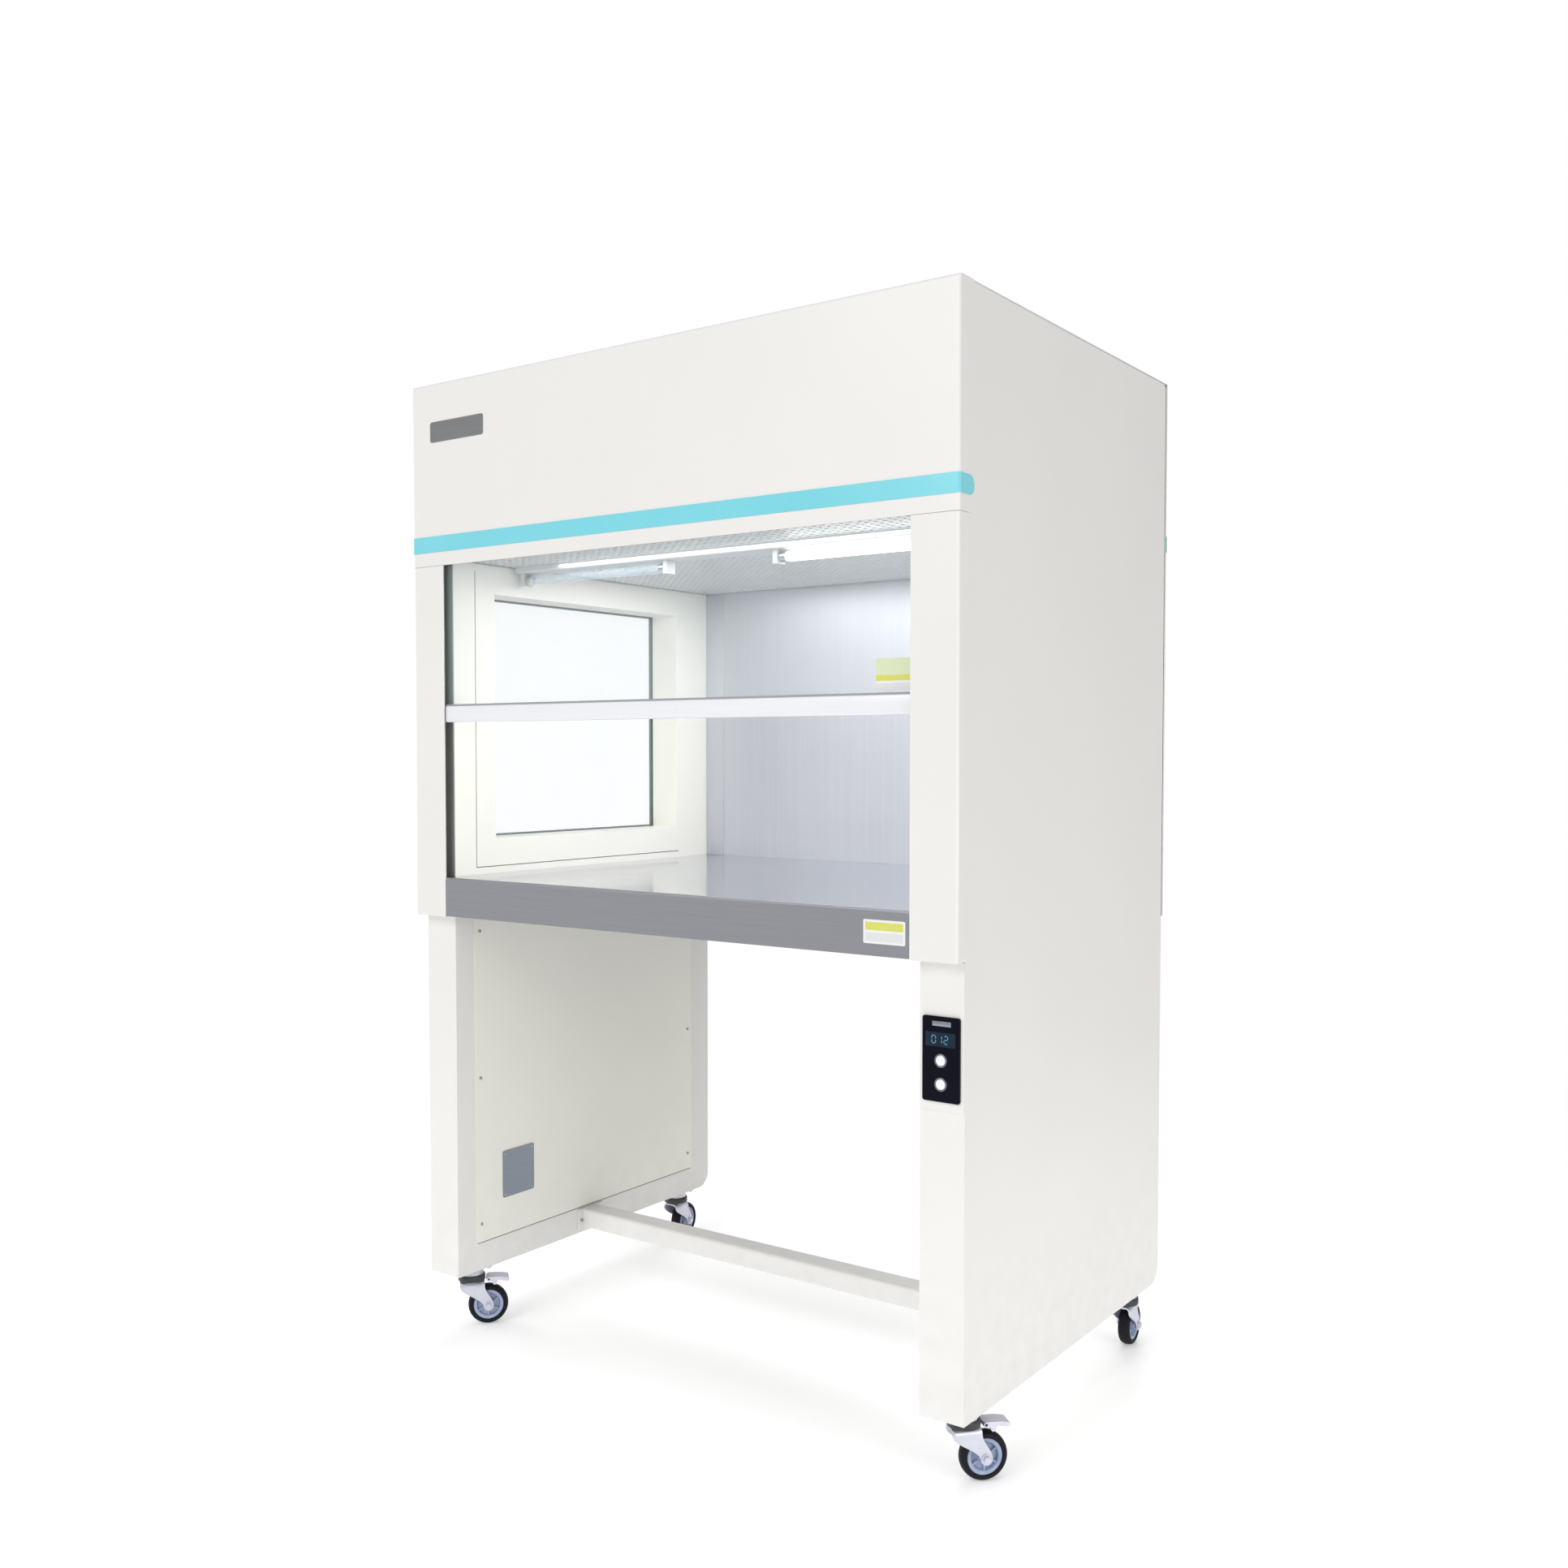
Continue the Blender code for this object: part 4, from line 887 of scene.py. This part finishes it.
AXLE_RADIUS, AXLE_HALF = 0.0040, 0.0156
RACE = ((0.0176, 0.0756), (0.0216, 0.0756), (0.0224, 0.0766), (0.0224, 0.0838), (0.0212, 0.0860),
        (0.0203, 0.0860), (0.0203, 0.0846), (0.0176, 0.0792))
BOLT_X, BOLT_Y, PLATE = 0.0215, 0.0185, 0.0025
plate_bolts = []
for corner in CASTERS:
    kingpin = Vector(joints[f"{corner}_swivel_turn"]["pos_m"])
    wheel_joint = joints[f"{corner}_wheel_roll"]
    across = Vector(wheel_joint["axis"])
    centre = Vector(wheel_joint["pos_m"])
    turn = Matrix.Rotation(math.atan2(across.y, across.x), 4, "Z")
    here = Matrix.Translation((kingpin.x, kingpin.y, 0.0)) @ turn
    trail = (centre.xy - kingpin.xy).length
    rolling = Matrix.Translation(centre) @ turn @ Matrix.Rotation(math.pi / 2, 4, "Y")

    tyre = bmesh.new()
    add_turned(tyre, tyre_outline(centre.z), rolling, 64)
    tyre_piece = place_piece(f"{corner}_tyre", tyre, tyre_rubber, f"{corner}_wheel", 50)
    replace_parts(tyre_piece, f"caster_{corner}_wheel")
    hub = bmesh.new()
    add_turned(hub, hub_outline(), rolling, 48)
    for rib in range(RIBS):
        blade = bmesh.new()
        add_block(blade, (BOSS - 0.0004, -RIB_HALF_THICK, -RIB_HALF_WIDE),
                  (RIB_OUT + 0.0004, RIB_HALF_THICK, RIB_HALF_WIDE), 0.0005)
        blade.transform(rolling @ Matrix.Rotation(math.tau * rib / RIBS, 4, "Z"))
        part = bpy.data.meshes.new("rib")
        blade.to_mesh(part)
        blade.free()
        hub.from_mesh(part)
        bpy.data.meshes.remove(part)
    place_piece(f"{corner}_hub", hub, hub_plastic, f"{corner}_wheel", 30)

    swivel = f"{corner}_swivel"
    arch = pressed_fork(here, trail, centre.z)
    fork = place_piece(f"{corner}_fork", arch, fork_zinc, swivel, 60)
    wall = fork.modifiers.new("sheet", "SOLIDIFY")
    wall.thickness, wall.offset = 0.0025, -1.0
    edge = fork.modifiers.new("edge", "BEVEL")
    edge.width, edge.segments, edge.angle_limit = 0.0006, 2, math.radians(50)
    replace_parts(fork, f"caster_{corner}_fork")

    axle = bmesh.new()
    add_turned(axle, rounded(AXLE_RADIUS, -AXLE_HALF, AXLE_HALF, 0.0004, 2), rolling, 24)
    place_piece(f"{corner}_axle", axle, fork_zinc, swivel)
    nuts = [(centre + side * (AXLE_HALF - 0.00005) * across, side * across) for side in (-1, 1)]
    bolt.make(f"{corner}_axle_nuts", facings(nuts), fork_zinc, swivel, "zinc_steel",
              Across=0.0090, Head=0.0034, Washer=0.0009)

    race = bmesh.new()
    add_turned(race, RACE, Matrix.Translation((kingpin.x, kingpin.y, 0.0)))
    place_piece(f"{corner}_dust_cap", race, moulded, "cabinet")
    if f"{corner}_pedal_press" in joints:
        soft_edged(f"caster_{corner}_pedal", fork_zinc, f"{corner}_pedal", 0.0007)
    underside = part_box(f"caster_{corner}_mount")[1].z - PLATE
    plate_bolts += [(Vector((kingpin.x + x, kingpin.y + y, underside)), Vector((0, 0, -1)))
                    for x in (-BOLT_X, BOLT_X) for y in (-BOLT_Y, BOLT_Y)]
bolt.make("plate_bolts", facings(plate_bolts), zinc, "cabinet", "zinc_steel",
          Across=0.0070, Head=0.0028, Washer=0.0008)


# ---- Screws ------------------------------------------------------------------------------------
# Pan-head cross-recess screws hold the rear covers, the leg covers, the roof, its grille and the
# crossbar's end plates. Each head is a domed disc with a cross cut in it. The rating plate is riveted.
screw = Kit("pan_screw", Radius=0.0042, Height=0.0022, Recess=0.0010)
radius, height, recess = screw.wants("Radius"), screw.wants("Height"), screw.wants("Recess")
skirt = screw.add("GeometryNodeMeshCylinder",
                  sockets={"Vertices": 20, "Radius": radius, "Depth": height * 0.4})
dome = screw.add("GeometryNodeMeshCone",
                 sockets={"Vertices": 20, "Radius Top": radius * 0.62, "Radius Bottom": radius,
                          "Depth": height * 0.6})
cuts = []
for long_side, short_side in ((1.15, 0.24), (0.24, 1.15)):
    size = screw.add("ShaderNodeCombineXYZ",
                     sockets={0: radius * long_side, 1: radius * short_side, 2: recess * 2.0})
    cuts.append(lifted(screw, screw.add("GeometryNodeMeshCube", sockets={"Size": size}), height))
stacked = [lifted(screw, skirt, height * 0.2), lifted(screw, dome, height * 0.4 - 0.00001)]
solid = screw.add("GeometryNodeMeshBoolean", {"operation": "UNION", "solver": "EXACT"}, {"Mesh 2": stacked})
on_facings(screw, screw.add("GeometryNodeMeshBoolean", {"operation": "DIFFERENCE", "solver": "EXACT"},
                            {"Mesh 1": solid, "Mesh 2": cuts}))


def row(start, end, count):
    """Evenly spaced points from start to end, ends included."""
    start, end = Vector(start), Vector(end)
    return [start.lerp(end, i / (count - 1)) for i in range(count)]


steel_screw = plated("screw_steel", (196, 198, 202), 0.24)
EDGE_IN, SEAM_IN = 0.018, 0.010
BACKWARD = Vector((0, 1, 0))
rear = []
for node, bottom_in in (("rear_header_cover", SEAM_IN), ("rear_panel", EDGE_IN)):
    low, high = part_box(node)
    left, right = low.x + EDGE_IN, high.x - EDGE_IN
    for z in (high.z - EDGE_IN, low.z + bottom_in):
        rear += row((left, high.y, z), (right, high.y, z), 5)
low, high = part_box("rear_panel")
for x in (low.x + EDGE_IN, high.x - EDGE_IN):
    rear += row((x, high.y, low.z + EDGE_IN), (x, high.y, high.z - EDGE_IN), 5)[1:-1]
screw.make("rear_screws", facings([(spot, BACKWARD) for spot in rear]), steel_screw, "cabinet", "zinc_steel")

COVER_IN_Y, COVER_IN_Z = 0.012, 0.030
inside = []
for node, facing in (("left_leg_cover", Vector((1, 0, 0))), ("right_leg_cover", Vector((-1, 0, 0)))):
    low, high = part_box(node)
    face = high.x if facing.x > 0 else low.x
    for y in (low.y + COVER_IN_Y, high.y - COVER_IN_Y):
        spots = row((face, y, low.z + COVER_IN_Z), (face, y, high.z - COVER_IN_Z), 3)
        inside += [(spot, facing) for spot in spots]
screw.make("leg_cover_screws", facings(inside), steel_screw, "cabinet", "zinc_steel",
           Radius=0.0030, Height=0.0014, Recess=0.0008)

bar_low, bar_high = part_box("crossbar")
FLANGE, FLANGE_IN = 0.003, 0.0068
ends = [(Vector((side * (bar_high.x - FLANGE), y, (bar_low.z + bar_high.z) / 2)), Vector((-side, 0, 0)))
        for side in (-1, 1) for y in (bar_low.y + FLANGE_IN, bar_high.y - FLANGE_IN)]
screw.make("crossbar_screws", facings(ends), steel_screw, "cabinet", "zinc_steel",
           Radius=0.0034, Height=0.0020, Recess=0.0009)

roof_low, roof_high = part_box("top_panel")
low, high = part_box("prefilter_grille")
GRILLE_IN_X, GRILLE_IN_Y, ROOF_IN_X, ROOF_IN_Y = 0.020, 0.004, 0.022, 0.030
on_roof = []
for y in (low.y + GRILLE_IN_Y, high.y - GRILLE_IN_Y):
    on_roof += row((low.x + GRILLE_IN_X, y, roof_high.z), (high.x - GRILLE_IN_X, y, roof_high.z), 4)
for x in (roof_low.x + ROOF_IN_X, roof_high.x - ROOF_IN_X):
    on_roof += row((x, roof_low.y + ROOF_IN_Y, roof_high.z), (x, roof_high.y - ROOF_IN_Y, roof_high.z), 4)
screw.make("roof_screws", facings([(spot, Vector((0, 0, 1))) for spot in on_roof]), steel_screw, "cabinet",
           "zinc_steel", Radius=0.0036, Height=0.0018)

RIVET_IN = 0.005
low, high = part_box("rating_plate")
rivets = [(Vector((high.x, y, z)), Vector((1, 0, 0)))
          for y in (low.y + RIVET_IN, high.y - RIVET_IN) for z in (low.z + RIVET_IN, high.z - RIVET_IN)]
rivet = Kit("rivet", Radius=0.0018)
ball = rivet.add("GeometryNodeMeshIcoSphere", sockets={"Radius": rivet.wants("Radius"), "Subdivisions": 3})
on_facings(rivet, rivet.add("GeometryNodeTransform", sockets={"Geometry": ball, "Scale": (1.0, 1.0, 0.45)}))
rivet.make("plate_rivets", facings(rivets), steel_screw, "cabinet", "zinc_steel", smooth=60)


# ---- Mains inlet -------------------------------------------------------------------------------
# A black snap-in appliance inlet low on the rear of the right leg, with three plated pins and two
# flange screws. Its cord is not part of the bench.
dress(moulded, "mains_inlet")
inlet_low, inlet_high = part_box("mains_inlet")
middle_x, middle_z = (inlet_low.x + inlet_high.x) / 2, (inlet_low.z + inlet_high.z) / 2
PIN_HALF_WIDE, PIN_HALF_TALL, PIN_ROOT, PIN_TIP, SCREW_UP = 0.0011, 0.0021, 0.0200, 0.0055, 0.0200
pins = bmesh.new()
for x, z in ((0.0, 0.008), (-0.006, -0.004), (0.006, -0.004)):
    x, z = middle_x + x, middle_z + z
    add_block(pins, (x - PIN_HALF_WIDE, inlet_high.y - PIN_ROOT, z - PIN_HALF_TALL),
              (x + PIN_HALF_WIDE, inlet_high.y - PIN_TIP, z + PIN_HALF_TALL), 0.0004)
place_piece("inlet_pins", pins, steel_screw, "cabinet")
flange = [(Vector((middle_x, inlet_high.y, middle_z + up)), BACKWARD) for up in (-SCREW_UP, SCREW_UP)]
screw.make("inlet_screws", facings(flange), steel_screw, "cabinet", "zinc_steel",
           Radius=0.0026, Height=0.0014, Recess=0.0007)


# ---- Floor -------------------------------------------------------------------------------------
# A pale matt studio floor under the casters, not part of the bench. It turns clear towards its edge
# so that it melts into the white room.
FLOOR_RADIUS, SOLID_RADIUS = 3.2, 0.9
ground = bmesh.new()
bmesh.ops.create_circle(ground, cap_ends=True, segments=96, radius=FLOOR_RADIUS)
ground_mesh = bpy.data.meshes.new("floor")
ground.to_mesh(ground_mesh)
ground.free()
floor = bpy.data.objects.new("floor", ground_mesh)
scene.collection.objects.link(floor)
pale = Finish("pale_floor", Roughness=0.6, Specular_IOR_Level=0.2, Emission_Strength=0.27)
pale.set(Emission_Color=srgb(255, 255, 255))
reach = pale.add("ShaderNodeVectorMath", {"operation": "LENGTH"}, {0: pale.where}, "Value")
matt = pale.noise(3, 3)
pale.set(Base_Color=pale.mix(matt, srgb(250, 250, 250), srgb(253, 253, 253)),
         Alpha=(1.0 - (reach - SOLID_RADIUS) / (FLOOR_RADIUS - 1.0)).clamped())
ground_mesh.materials.append(pale.material)
